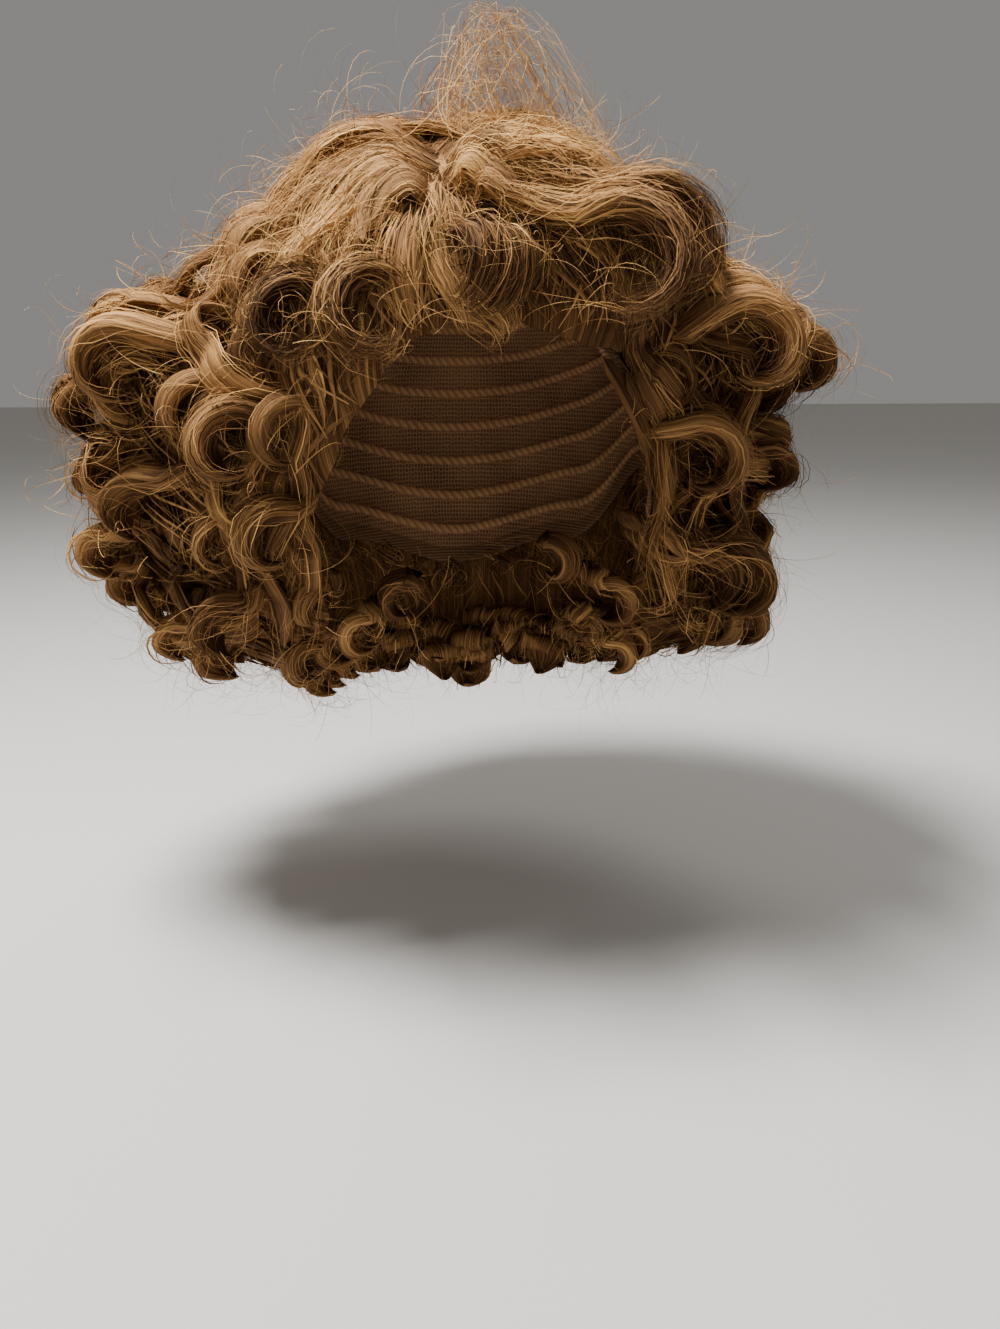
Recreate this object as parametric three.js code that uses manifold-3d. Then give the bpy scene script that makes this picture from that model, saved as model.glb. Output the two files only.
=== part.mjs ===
// A curly wig: a thin cap that fits the head, and hair in five sections that are tied to it.
// Each section is a full mass of hair with barrel curls rooted in it, fused into one solid.
// Millimetres, +Z up. The origin is the inside of the cap at the crown, where the head bears.
// The face opening looks along -Y, and left and right are the viewer's, who faces it.
import * as THREE from "three";
import { mergeVertices } from "three/addons/utils/BufferGeometryUtils.js";
import Module from "manifold-3d";

const wasm = await Module();
wasm.setup();

// Head and cap sizes
const HEAD_HALF_WIDTH = 76;
const HEAD_HALF_DEPTH = 96;
const HEAD_DOME = 100;
const CAP_WALL = 1.6;
const CAP_SECTORS = 28;
const CAP_RINGS = 7;

// Clearances: between two sections of hair, and from the head to the inside of the hair
const GAP = 0.5;
const HAIR_RISE = 3.4;

// The open space for the neck, below the cap
const NECK_HALF_WIDTH = 66;
const NECK_HALF_DEPTH = 80;
const NECK_TOP = -104;
const NECK_BOTTOM = -240;

// The cap's edge: how far down from the crown it reaches, as a polar angle, at each azimuth.
// Azimuth 0 is the forehead, 90 the ear and 180 the nape, and both sides are alike.
const CAP_EDGE = [
  { azimuth: 0, polar: 52 },
  { azimuth: 30, polar: 56 },
  { azimuth: 55, polar: 80 },
  { azimuth: 72, polar: 106 },
  { azimuth: 95, polar: 92 },
  { azimuth: 130, polar: 114 },
  { azimuth: 180, polar: 124 },
];

// The mass of the hair under its curls: how far its surface lies from the middle of the head at each
// polar angle, in eight directions round the head. Slanted waves run over it.
const MASS_MIDDLE = -85;
const MASS_SECTORS = 28;
const MASS_RINGS = 12;
const MASS_END = 148;
const MASS_FOOT = 55;
const WAVE_HEIGHT = 3.5;
const WAVES_ROUND = 7;
const WAVE_SLANT = 3.2;
const MASS_WAYS = ["front", "frontRight", "right", "backRight", "back", "backLeft", "left", "frontLeft"];
const HAIR_MASS = [
  [0, 117, 117, 117, 117, 117, 117, 117, 117],
  [28, 109, 109, 107, 113, 120, 118, 111, 110],
  [48, 103, 107, 109, 122, 130, 124, 109, 107],
  [62, 100, 104, 121, 130, 138, 132, 117, 110],
  [74, 78, 88, 138, 141, 146, 142, 145, 108],
  [90, 60, 66, 134, 144, 150, 148, 149, 97],
  [105, 60, 64, 130, 144, 152, 150, 153, 92],
  [122, 60, 64, 152, 152, 156, 152, 153, 92],
  [148, 50, 60, 124, 134, 142, 140, 136, 80],
].map(([polar, ...reach]) => ({
  polar,
  ...Object.fromEntries(MASS_WAYS.map((way, place) => [way, reach[place]])),
}));

// The tuft that stands up from the front of the crown: its place, its spread as an angle, its height
const TUFT = { azimuth: 18, polar: 12.3, spread: 13, height: 32 };

// The sections of the hair: the crown within a polar angle, and the rest between two azimuths each
const CROWN_POLAR = 33;
const SECTIONS = [
  { name: "fringe", from: -42, to: 48 },
  { name: "crown" },
  { name: "left_side", from: -122, to: -42 },
  { name: "right_side", from: 48, to: 122 },
  { name: "back", from: 122, to: 238 },
];

// Rows of barrel curls. The rolls of a row are spread over an azimuth range at a polar angle, and their
// middles stand `proud` of the mass. The root lies `climb` further up and `sweep` further round. The
// roll's own way veers from its azimuth, and `close` is the share of its radius that is left at the tip.
const LOCK_COLUMNS = [
  "section", "from", "to", "count", "polar", "proud", "climb", "sweep", "veer",
  "roll", "turn", "close", "width", "thick",
];
const LOCK_ROWS = [
  ["fringe", 19, 19, 1, 65, 32, 28, -32, 70, 19, 225, 0.85, 46, 13],
  ["fringe", 34, 34, 1, 58, 14, 26, -34, 52, 20, 220, 0.8, 50, 14],
  ["fringe", -4, -4, 1, 64, 20, 24, -4, 50, 14, 220, 0.7, 40, 14],
  ["fringe", -34, -34, 1, 74, 18, 28, 14, -62, 13, 270, 0.7, 36, 13],
  ["fringe", -21, -21, 1, 72, 22, 28, 12, -62, 15, 290, 0.7, 38, 13],
  ["crown", -160, 140, 5, 27, -4, 22, 20, 0, 12, 230, 0.5, 60, 16],
  ["left_side", -106, -64, 2, 56, -5, 18, 0, -10, 14, 270, 0.5, 54, 17],
  ["left_side", -114, -57, 4, 84, 2, 17, 4, -24, 16, 290, 0.5, 46, 20],
  ["left_side", -112, -57, 4, 105, -1, 17, 4, -24, 15, 290, 0.5, 46, 19],
  ["left_side", -112, -72, 3, 130, -3, 18, 4, -16, 14, 265, 0.5, 44, 18],
  ["right_side", 66, 110, 2, 55, -3, 18, 0, 10, 14, 270, 0.5, 54, 18],
  ["right_side", 66, 112, 3, 76, 1, 18, -4, 20, 19, 290, 0.5, 50, 21],
  ["right_side", 66, 66, 1, 98, 0, 17, -4, 24, 17, 290, 0.5, 52, 18],
  ["right_side", 70, 70, 1, 123, 0, 17, -4, 22, 16, 290, 0.5, 50, 18],
  ["right_side", 84, 110, 2, 101, -4, 16, 0, 10, 12, 280, 0.5, 48, 16],
  ["right_side", 76, 112, 3, 122, -5, 18, -4, 14, 17, 290, 0.5, 48, 20],
  ["back", 156, 204, 2, 50, -4, 18, 0, 0, 15, 270, 0.5, 70, 18],
  ["back", 140, 220, 3, 74, -3, 18, 0, 0, 17, 290, 0.5, 70, 20],
  ["back", 134, 226, 4, 102, -3, 18, 0, 0, 17, 290, 0.5, 60, 20],
  ["back", 136, 224, 4, 130, -3, 18, 0, 0, 16, 265, 0.5, 56, 18],
].map((row) => Object.fromEntries(LOCK_COLUMNS.map((column, place) => [column, row[place]])));

// The sweep of a lock: rings along its lead and its roll, and sides of its flat oval section
const LEAD_STEPS = 2;
const ROLL_STEPS = 6;
const LOCK_SIDES = 6;
const ROLL_ENTRY = 105;
const ROOT_SINK = 14;
const TIP_SHARE = 0.35;
const ROW_STAGGER = 5;
const ODD_SHARE = 0.86;
const EDGE_GROWTH = 2.6;

const HAIR_COLOUR = 0x9a6434;
const CAP_COLOUR = 0x4a3426;

const radians = THREE.MathUtils.degToRad;
const { lerp, smoothstep } = THREE.MathUtils;

// The value of a table at a place between its rows, eased so that the curve has no corners
function fromTable(table, key, value, at) {
  const last = table.length - 1;
  const upper = table.findIndex((row) => row[key] >= at);
  if (upper === 0) return table[0][value];
  if (upper < 0) return table[last][value];
  const low = table[upper - 1];
  const high = table[upper];
  const share = (at - low[key]) / (high[key] - low[key]);
  return lerp(low[value], high[value], smoothstep(share, 0, 1));
}

const wrapped = (azimuth) => THREE.MathUtils.euclideanModulo(azimuth + 180, 360) - 180;
const edgePolar = (azimuth) => fromTable(CAP_EDGE, "azimuth", "polar", Math.abs(wrapped(azimuth)));

function direction(azimuth, polar) {
  const [a, p] = [radians(azimuth), radians(polar)];
  return new THREE.Vector3(Math.sin(p) * Math.sin(a), -Math.sin(p) * Math.cos(a), Math.cos(p));
}

// A point on the head at an azimuth and a polar angle, raised along the surface's normal
function headPoint(azimuth, polar, raise) {
  const unit = direction(azimuth, polar);
  const size = new THREE.Vector3(HEAD_HALF_WIDTH, HEAD_HALF_DEPTH, HEAD_DOME);
  const normal = unit.clone().divide(size).normalize();
  const point = unit.multiply(size);
  point.z -= HEAD_DOME;
  return point.addScaledVector(normal, raise);
}

// A point on the mass of the hair, raised away from the middle of the head
function massPoint(azimuth, polar, raise) {
  const step = 360 / MASS_WAYS.length;
  const turn = THREE.MathUtils.euclideanModulo(azimuth, 360) / step;
  const [near, far] = [0, 1].map((later) => {
    const way = MASS_WAYS[(Math.floor(turn) + later) % MASS_WAYS.length];
    return fromTable(HAIR_MASS, "polar", way, polar);
  });
  const wave = Math.cos(radians(WAVES_ROUND * azimuth + WAVE_SLANT * polar)) * Math.sin(radians(polar));
  const away = direction(azimuth, polar).angleTo(direction(TUFT.azimuth, TUFT.polar)) / radians(TUFT.spread);
  const tuft = TUFT.height * Math.exp(-away * away);
  const reach = lerp(near, far, smoothstep(turn % 1, 0, 1)) + WAVE_HEIGHT * wave + tuft + raise;
  return direction(azimuth, polar).multiplyScalar(reach).add(new THREE.Vector3(0, 0, MASS_MIDDLE));
}

function solidFrom(points, triangles) {
  const geometry = new THREE.BufferGeometry().setFromPoints(points);
  geometry.setIndex(triangles.flat());
  return manifoldOf(geometry);
}

function manifoldOf(geometry) {
  const bare = geometry.clone();
  bare.deleteAttribute("normal");
  bare.deleteAttribute("uv");
  const merged = mergeVertices(bare, 1e-4);
  const corners = merged.index.array;
  const triangles = [];
  for (let at = 0; at < corners.length; at += 3) {
    const [a, b, c] = corners.slice(at, at + 3);
    if (a !== b && b !== c && c !== a) triangles.push(a, b, c);
  }
  return new wasm.Manifold(
    new wasm.Mesh({
      numProp: 3,
      vertProperties: merged.getAttribute("position").array,
      triVerts: new Uint32Array(triangles),
    }),
  );
}

function geometryOf(solid) {
  const mesh = solid.getMesh();
  return new THREE.BufferGeometry()
    .setAttribute("position", new THREE.BufferAttribute(new Float32Array(mesh.vertProperties), 3))
    .setIndex(new THREE.BufferAttribute(new Uint32Array(mesh.triVerts), 1));
}

// Two triangles of a grid cell, facing the side from which its corners run anticlockwise
const quad = (a, b, c, d) => [
  [a, b, c],
  [a, c, d],
];

// The cap: a domed wall from the crown down to its edge
function capSolid() {
  const points = [];
  const triangles = [];
  const [top, under] = [CAP_WALL, 0].map((raise) => {
    const first = points.length;
    points.push(headPoint(0, 0, raise));
    for (let ring = 1; ring <= CAP_RINGS; ring++) {
      for (let sector = 0; sector < CAP_SECTORS; sector++) {
        const azimuth = (360 * sector) / CAP_SECTORS;
        points.push(headPoint(azimuth, (edgePolar(azimuth) * ring) / CAP_RINGS, raise));
      }
    }
    return (ring, sector) => (ring ? first + 1 + (ring - 1) * CAP_SECTORS + (sector % CAP_SECTORS) : first);
  });
  for (let sector = 0; sector < CAP_SECTORS; sector++) {
    const next = sector + 1;
    triangles.push([top(0, 0), top(1, sector), top(1, next)]);
    triangles.push([under(0, 0), under(1, next), under(1, sector)]);
    for (let ring = 1; ring < CAP_RINGS; ring++) {
      const lower = ring + 1;
      triangles.push(...quad(top(ring, sector), top(lower, sector), top(lower, next), top(ring, next)));
      const inside = [under(ring, next), under(lower, next), under(lower, sector), under(ring, sector)];
      triangles.push(...quad(...inside));
    }
    const end = CAP_RINGS;
    triangles.push(...quad(top(end, sector), under(end, sector), under(end, next), top(end, next)));
  }
  return solidFrom(points, triangles);
}

// The whole mass of the hair, solid through the head, grown outwards by `grow`
function wholeMass(grow) {
  const points = [massPoint(0, 0, grow)];
  const triangles = [];
  for (let ring = 1; ring <= MASS_RINGS; ring++) {
    for (let sector = 0; sector < MASS_SECTORS; sector++) {
      points.push(massPoint((360 * sector) / MASS_SECTORS, (MASS_END * ring) / MASS_RINGS, grow));
    }
  }
  const foot = points.push(new THREE.Vector3(0, 0, MASS_MIDDLE - MASS_FOOT - grow)) - 1;
  const at = (ring, sector) => (ring ? 1 + (ring - 1) * MASS_SECTORS + (sector % MASS_SECTORS) : 0);
  for (let sector = 0; sector < MASS_SECTORS; sector++) {
    const next = sector + 1;
    triangles.push([0, at(1, sector), at(1, next)]);
    for (let ring = 1; ring < MASS_RINGS; ring++) {
      const lower = ring + 1;
      triangles.push(...quad(at(ring, sector), at(lower, sector), at(lower, next), at(ring, next)));
    }
    triangles.push([foot, at(MASS_RINGS, next), at(MASS_RINGS, sector)]);
  }
  return solidFrom(points, triangles);
}

// The space that the head, the cap and the neck take up inside the hair
function headSpace() {
  const head = new THREE.SphereGeometry(1, 24, 14);
  head.rotateX(Math.PI / 2);
  head.scale(HEAD_HALF_WIDTH + HAIR_RISE, HEAD_HALF_DEPTH + HAIR_RISE, HEAD_DOME + HAIR_RISE);
  head.translate(0, 0, -HEAD_DOME);
  const neck = new THREE.CylinderGeometry(1, 1, NECK_TOP - NECK_BOTTOM, 20);
  neck.rotateX(Math.PI / 2);
  neck.scale(NECK_HALF_WIDTH, NECK_HALF_DEPTH, 1);
  neck.translate(0, 0, (NECK_TOP + NECK_BOTTOM) / 2);
  return joined([manifoldOf(head), manifoldOf(neck)]);
}

// The cone over the middle of the head that bounds the crown section
function crownCone(grow) {
  const height = 260;
  const cone = new THREE.ConeGeometry(height * Math.tan(radians(CROWN_POLAR)), height, 24);
  cone.rotateX(-Math.PI / 2);
  cone.translate(0, 0, MASS_MIDDLE + height / 2 - grow / Math.sin(radians(CROWN_POLAR)));
  return manifoldOf(cone);
}

// An upright wedge between two azimuths, drawn in by `inset` on both sides
function wedge({ from, to }, inset) {
  const far = 420;
  const middle = (from + to) / 2;
  const tip = direction(middle, 90).multiplyScalar(inset / Math.sin(radians((to - from) / 2)));
  const rim = [from, middle, to].map((azimuth) => direction(azimuth, 90).multiplyScalar(far).add(tip));
  const plan = [tip, ...rim];
  const points = [-far, far].flatMap((z) => plan.map((point) => point.clone().setZ(z)));
  const sides = [0, 1, 2, 3].flatMap((corner) => {
    const next = (corner + 1) % 4;
    return quad(corner, next, next + 4, corner + 4);
  });
  return solidFrom(points, [...quad(3, 2, 1, 0), ...quad(4, 5, 6, 7), ...sides]);
}

// The mass of one section, grown by `grow` on every side
function sectionMass(section, grow) {
  const mass = wholeMass(grow);
  if (section.name === "crown") return mass.intersect(crownCone(grow));
  return mass.subtract(crownCone(GAP - grow)).intersect(wedge(section, GAP / 2 - grow));
}

// The middle line of a lock: a lead from its root to the roll, then the roll. Each station holds its
// place, how far along the lock it lies, and the roll's axis.
function lockStations(row, index) {
  const share = row.count > 1 ? index / (row.count - 1) : 0.5;
  const azimuth = lerp(row.from, row.to, share);
  const polar = row.polar + ROW_STAGGER * (index % 2 ? 1 : -0.5);
  const radius = row.roll * (index % 2 ? ODD_SHARE : 1);
  const heading = azimuth + row.veer;
  const out = direction(heading, 90);
  const axis = direction(heading + 90, 90);
  const root = massPoint(azimuth + row.sweep, polar - row.climb, -ROOT_SINK);
  const rise = direction(azimuth + row.sweep, polar - row.climb);
  const span = massPoint(azimuth, polar, row.proud).sub(root);
  const centre = new THREE.Vector2(span.dot(out), span.z);
  const carried = span.dot(axis);
  const entry = radians(ROLL_ENTRY);
  const start = new THREE.Vector2(Math.cos(entry), Math.sin(entry)).multiplyScalar(radius).add(centre);
  const handle = start.length() * 0.42;
  const lead = new THREE.CubicBezierCurve(
    new THREE.Vector2(0, 0),
    new THREE.Vector2(rise.dot(out), rise.z).normalize().multiplyScalar(handle),
    new THREE.Vector2(-Math.sin(entry), Math.cos(entry)).multiplyScalar(handle).add(start),
    start,
  );
  const flat = lead.getPoints(LEAD_STEPS);
  for (let step = 1; step <= ROLL_STEPS; step++) {
    const turned = step / ROLL_STEPS;
    const angle = entry - radians(row.turn) * turned;
    const reach = radius * lerp(1, row.close, turned);
    flat.push(new THREE.Vector2(Math.cos(angle), Math.sin(angle)).multiplyScalar(reach).add(centre));
  }
  return flat.map((point, step) => {
    const along = step / (flat.length - 1);
    const place = root.clone().addScaledVector(out, point.x).addScaledVector(axis, carried * along);
    place.z += point.y;
    return { place, along, axis };
  });
}

// A lock as a solid: a flat oval section swept along its middle line and tapered to both ends
function lockSolid(row, index, grow) {
  const stations = lockStations(row, index);
  const last = stations.length - 1;
  const points = [];
  const ends = [];
  const triangles = [];
  stations.forEach(({ place, along, axis }, step) => {
    const before = stations[Math.max(step - 1, 0)].place;
    const after = stations[Math.min(step + 1, last)].place;
    const way = after.clone().sub(before).normalize();
    const normal = way.clone().cross(axis).normalize();
    const longer = step === last ? grow : step === 0 ? -grow : 0;
    const middle = place.clone().addScaledVector(way, longer);
    if (step % last === 0) ends.push(middle);
    const swell = lerp(0.6, 1, smoothstep(along, 0, 0.35));
    const taper = lerp(1, TIP_SHARE, smoothstep(along, 0.55, 1));
    const halfWidth = (row.width / 2) * swell * taper + grow * EDGE_GROWTH;
    const halfThick = (row.thick / 2) * taper + grow;
    for (let side = 0; side < LOCK_SIDES; side++) {
      const angle = (2 * Math.PI * side) / LOCK_SIDES;
      const across = axis.clone().multiplyScalar(halfWidth * Math.cos(angle));
      points.push(across.addScaledVector(normal, halfThick * Math.sin(angle)).add(middle));
    }
  });
  const at = (step, side) => step * LOCK_SIDES + (side % LOCK_SIDES);
  const [root, tip] = ends.map((middle) => points.push(middle) - 1);
  for (let side = 0; side < LOCK_SIDES; side++) {
    const next = side + 1;
    triangles.push([root, at(0, next), at(0, side)]);
    triangles.push([tip, at(last, side), at(last, next)]);
    for (let step = 0; step < last; step++) {
      triangles.push(...quad(at(step, side), at(step, next), at(step + 1, next), at(step + 1, side)));
    }
  }
  return solidFrom(points, triangles);
}

const joined = (solids) => wasm.Manifold.union(solids);
const largest = (solid) => solid.decompose().sort((a, b) => b.volume() - a.volume())[0];

// A section's mass and locks together, grown by `grow` on every side
function sectionBody(section, grow) {
  const rows = LOCK_ROWS.filter((row) => row.section === section.name);
  const locks = rows.flatMap((row) => {
    const places = [...Array(row.count).keys()];
    return places.map((index) => lockSolid(row, index, grow));
  });
  return joined([sectionMass(section, grow), ...locks]);
}

function namedMesh(name, solid, colour, roughness) {
  const material = new THREE.MeshStandardMaterial({ color: colour, roughness, metalness: 0 });
  const mesh = new THREE.Mesh(geometryOf(solid), material);
  mesh.name = name;
  return mesh;
}

const wig = new THREE.Group();
wig.add(namedMesh("cap", capSolid(), CAP_COLOUR, 0.9));

// Each section keeps clear of the head and of the sections before it
let taken = headSpace();
for (const section of SECTIONS) {
  const solid = largest(sectionBody(section, 0).subtract(taken));
  wig.add(namedMesh(`${section.name}_hair`, solid, HAIR_COLOUR, 0.6));
  taken = joined([taken, sectionBody(section, GAP)]);
}

export default wig;
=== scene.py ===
"""A curly ginger wig on its fitted cap: barrel curls, swept fringe, crown waves and loose fibres."""

import bpy
import numpy as np
from mathutils import Matrix, Vector


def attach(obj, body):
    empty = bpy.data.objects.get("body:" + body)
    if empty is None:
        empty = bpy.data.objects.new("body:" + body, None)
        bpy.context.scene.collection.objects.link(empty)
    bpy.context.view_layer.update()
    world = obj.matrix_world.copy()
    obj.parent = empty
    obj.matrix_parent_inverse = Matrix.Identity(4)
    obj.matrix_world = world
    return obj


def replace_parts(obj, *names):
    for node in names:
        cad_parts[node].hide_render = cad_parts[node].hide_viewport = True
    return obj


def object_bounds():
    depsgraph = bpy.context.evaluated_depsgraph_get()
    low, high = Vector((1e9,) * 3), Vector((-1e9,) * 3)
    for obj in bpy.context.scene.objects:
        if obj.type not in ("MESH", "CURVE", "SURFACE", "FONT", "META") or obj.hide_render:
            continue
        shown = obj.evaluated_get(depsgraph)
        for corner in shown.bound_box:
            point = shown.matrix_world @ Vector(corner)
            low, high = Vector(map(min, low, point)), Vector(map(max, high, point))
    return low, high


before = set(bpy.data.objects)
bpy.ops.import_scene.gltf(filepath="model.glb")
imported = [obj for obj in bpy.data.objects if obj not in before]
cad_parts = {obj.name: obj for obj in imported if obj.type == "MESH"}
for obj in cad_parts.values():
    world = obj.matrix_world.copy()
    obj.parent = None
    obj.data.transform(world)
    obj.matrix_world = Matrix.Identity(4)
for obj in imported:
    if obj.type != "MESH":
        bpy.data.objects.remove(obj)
cad_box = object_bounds()

# A millimetre in metres, the seed of the first section, and about a full turn in radians
MM = 0.001
SEED = 41
TURN = 6.28

# The cap, in millimetres, as in the solids: the room inside it, its wall, and its edge by azimuth
CAP_INSIDE = np.array([76.0, 96.0, 100.0])
CAP_MIDDLE = np.array([0.0, 0.0, -100.0])
CAP_RADIUS = CAP_INSIDE.mean()
CAP_WALL = 1.6
CAP_EDGE = [(0, 52), (30, 56), (55, 80), (72, 106), (95, 92), (130, 114), (180, 124)]

# The room kept free of hair: so far over the inside of the cap, and an open way below it
HAIR_RISE = 3.4
BELOW_SIZE = np.array([66.0, 80.0])
BELOW_TOP = -104

# The mass of the hair: in each row a polar angle, and the reach from the middle in eight ways round
MASS_MIDDLE = np.array([0.0, 0.0, -85.0])
MASS_END = 148
WAVE_HEIGHT = 3.5
WAVES_ROUND = 7
WAVE_SLANT = 3.2
HAIR_MASS = np.array([
    [0, 117, 117, 117, 117, 117, 117, 117, 117],
    [28, 109, 109, 107, 113, 120, 118, 111, 110],
    [48, 103, 107, 109, 122, 130, 124, 109, 107],
    [62, 100, 104, 121, 130, 138, 132, 117, 110],
    [74, 78, 88, 138, 141, 146, 142, 145, 108],
    [90, 60, 66, 134, 144, 150, 148, 149, 97],
    [105, 60, 64, 130, 144, 152, 150, 153, 92],
    [122, 60, 64, 152, 152, 156, 152, 153, 92],
    [148, 50, 60, 124, 134, 142, 140, 136, 80],
], float)
UNDER_DEPTH = 5
# Painted shade: the mass under the curls is darker, and the mat over it a little less
UNDER_SHADE = -0.22
UNDER_LEAST = 0.3
UNDER_ROOM = 0.5
UNDER_RISE = 0.1
UNDER_GRAIN = 2.2

# Sections of the hair: azimuth range and the polar angle where they start
CROWN_POLAR = 33
SECTIONS = {
    "fringe": (-42, 48, CROWN_POLAR),
    "crown": (-180, 180, 0),
    "left_side": (-122, -42, CROWN_POLAR),
    "right_side": (48, 122, CROWN_POLAR),
    "back": (122, 238, CROWN_POLAR),
}

# Rows of barrel curls: the rolls' azimuths, their number and polar angle, how proud they stand, how far
# round their roots lie, the roll's veer, radius and turn, and the lock's width and thickness. For the
# fringe, also how far up the roots lie and how far the roll closes
CURL_COLUMNS = ("start", "end", "count", "polar", "proud", "sweep", "veer", "roll", "turn", "width",
                "thick", "climb", "close")
FRINGE_CURL = dict(root=-8, abreast=3)
HANGING_CURL = dict(root=-18, abreast=2, climb=7, close=0.5)
CURL_ROWS = {
    "fringe": (
        (19, 19, 1, 65, 32, -32, 70, 19, 225, 46, 13, 28, 0.85),
        (34, 34, 1, 58, 14, -34, 52, 20, 220, 50, 14, 26, 0.8),
        (-4, -4, 1, 64, 14, -4, 50, 14, 220, 40, 14, 17, 0.7),
        (-34, -34, 1, 74, 18, 14, -62, 13, 270, 36, 13, 28, 0.7),
        (-21, -21, 1, 72, 22, 12, -62, 15, 290, 38, 13, 28, 0.7),
    ),
    "left_side": (
        (-106, -64, 2, 56, -5, 0, -10, 14, 270, 54, 17), (-114, -57, 4, 84, 2, 4, -24, 16, 290, 46, 20),
        (-112, -57, 4, 105, -1, 4, -24, 15, 290, 46, 19), (-112, -72, 3, 130, -3, 4, -16, 14, 265, 44, 18),
        (-114, -66, 4, 146, -8, 3, -16, 11, 280, 34, 14), (-98, -84, 2, 121, -2, 4, -18, 13, 290, 42, 16),
    ),
    "right_side": (
        (66, 110, 2, 55, -3, 0, 10, 14, 270, 54, 18), (66, 112, 3, 76, 1, -4, 20, 19, 290, 50, 21),
        (84, 110, 2, 101, -4, 0, 10, 12, 280, 48, 16), (76, 112, 3, 122, -5, -4, 14, 17, 290, 48, 20),
        (70, 116, 4, 144, -8, -3, 14, 11, 280, 34, 14), (66, 66, 1, 98, 0, -4, 24, 17, 290, 52, 18),
        (70, 70, 1, 123, 0, -4, 22, 16, 290, 50, 18),
    ),
    "back": (
        (156, 204, 2, 50, -4, 0, 0, 15, 270, 70, 18), (140, 220, 3, 74, -3, 0, 0, 17, 290, 70, 20),
        (134, 226, 4, 102, -3, 0, 0, 17, 290, 60, 20), (136, 224, 4, 130, -3, 0, 0, 16, 265, 56, 18),
        (130, 230, 7, 147, -8, 0, 0, 12, 280, 38, 14),
    ),
}
# Smaller curls that close the gaps between the rows
GAP_ROWS = {
    "left_side": (
        (-104, -92, 2, 95, -6, 4, -24, 13, 290, 44, 16), (-70, -56, 2, 60, -6, 4, -24, 13, 270, 40, 14),
        (-86, -86, 1, 75, -6, 4, -24, 11, 270, 40, 14), (-104, -104, 1, 128, -4, 4, -18, 12, 280, 40, 14),
        (-120, -120, 1, 146, -8, 0, 0, 11, 280, 36, 14),
    ),
    "right_side": (
        (92, 104, 2, 141, -8, -3, 14, 11, 280, 34, 14), (119, 119, 1, 146, -8, 0, 0, 11, 280, 36, 14),
    ),
    "back": (
        (143, 217, 4, 87, -5, 0, 0, 13, 280, 46, 16), (146, 214, 4, 116, -5, 0, 0, 13, 280, 44, 16),
    ),
}
UPPER_BACK_ROWS = 2

# How the curls of a row are laid: where the roll starts, how uneven the row is, how locks fill a barrel
ROLL_ENTRY = 105
ROLL_STEPS = 44
LEAD_STEPS = 18
LEAD_HANDLE = 0.42
ROOT_LIFT = 0.6
ROW_STAGGER = 5
ROW_EASE = {"fringe": 1.0, "left_side": 2.0, "right_side": 2.0, "back": 3.0}
ODD_SHARE = 0.86
BARREL_SPREAD = 0.8
BARREL_FILL = 0.76
GAP_INSET = 2
GAP_SINK = -4
HEM_POLAR = 140

# Painted shade: how much darker a lock is inside its bends and towards its end, low in the fringe, and in
# the big roll right of this azimuth, and how much darker its deeper strands and its core are
INSIDE_RADIUS = 18
INSIDE_SHADE = 0.24
BARREL_AZIMUTH = 10
BARREL_END_SHADE = 0.4
END_SHADE = {"fringe": 0.18, "left_side": 0.14, "right_side": 0.22, "back": 0.1}
LOW_FRINGE_SHADE = 0.15
DEPTH_SHADE = 0.2
CORE_SHADE = 0.12

# Locks and strands: rings of a lock, fewest and most steps of a strand, where the core ends, how loose
# the sections are, and for each kind of strand its share, width, depths in the lock, looseness and tone,
# the finer ones made lighter with painted light as if lit through
LOCK_RINGS = 56
RINGS = np.linspace(0, 1, LOCK_RINGS)
BEND_PACE = 9
STRAND_STEPS = (9, 18)
FEWEST_STRANDS = 6
CORE_END = 0.82
CORE_RINGS = 20
CORE_SIDES = (10, 14)
BROAD_LOCK = 11
LOOSENESS = {"fringe": 1.0, "left_side": 1.5, "right_side": 1.2, "back": 1.0}
CRIMP = 0.25
BROAD_STRAND = 0.8
STRANDS = (
    (0.3, 0.72, (0.7, 1.02), 1.0, 0.0),
    (0.48, 0.32, (0.8, 1.12), 1.8, 0.03),
    (0.22, 0.25, (0.9, 1.3), 5.0, 0.06),
)
BUDGETS = {"fringe_curls": 160000, "crown_waves": 160000, "left_side_curls": 190000,
           "right_side_curls": 190000, "back_upper_curls": 95000, "back_lower_curls": 155000}

# Laid locks: the part from front to back, the fans of waves from it (azimuths, number, bow), the bands of
# loose locks over the rows, and the sweeps of the fringe (azimuths, number, foot, rise, bow, curl, shade)
LAID_STEPS = 44
LAID_SINK = -5
CURL_STEPS = 29
PART_LINE = [np.array([-16.0, -70, 0]), np.array([-10.0, -10, 30]), np.array([-2.0, 36, 28])]
CROWN_FANS = ((-44, -128, 12, -0.22), (40, 126, 11, 0.22))
CROWN_RISES = (1, 6)
CROWN_WAVES = dict(height=3.5, swing=5)
CROWN_BACK = (126, 234, 9)
CROWN_BACK_RISES = (1, 5)
COVER_POLARS = {"left_side": (42, 66, 90, 112), "right_side": (42, 62, 88, 106), "back": (44, 62, 90, 112)}
COVER_HIGH = 60
COVER_LOW_RANGES = {"left_side": (-104, -62), "right_side": (66, 104), "back": (122, 238)}
# The last column is painted shade, deepest on the sweeps seen in the hollow of the big roll
FRINGE_SWEEPS = (
    (-66, -30, 6, 62, 4, -0.35, 150, 0), (-58, -24, 6, 57, 10, -0.45, 60, 0),
    (-20, 4, 3, 65, 5, -0.2, 150, -0.05), (22, 50, 5, 60, 0, 0.25, 90, -0.28),
    (4, 46, 8, 46, 13, 0.3, 0, 0.03),
)

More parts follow.
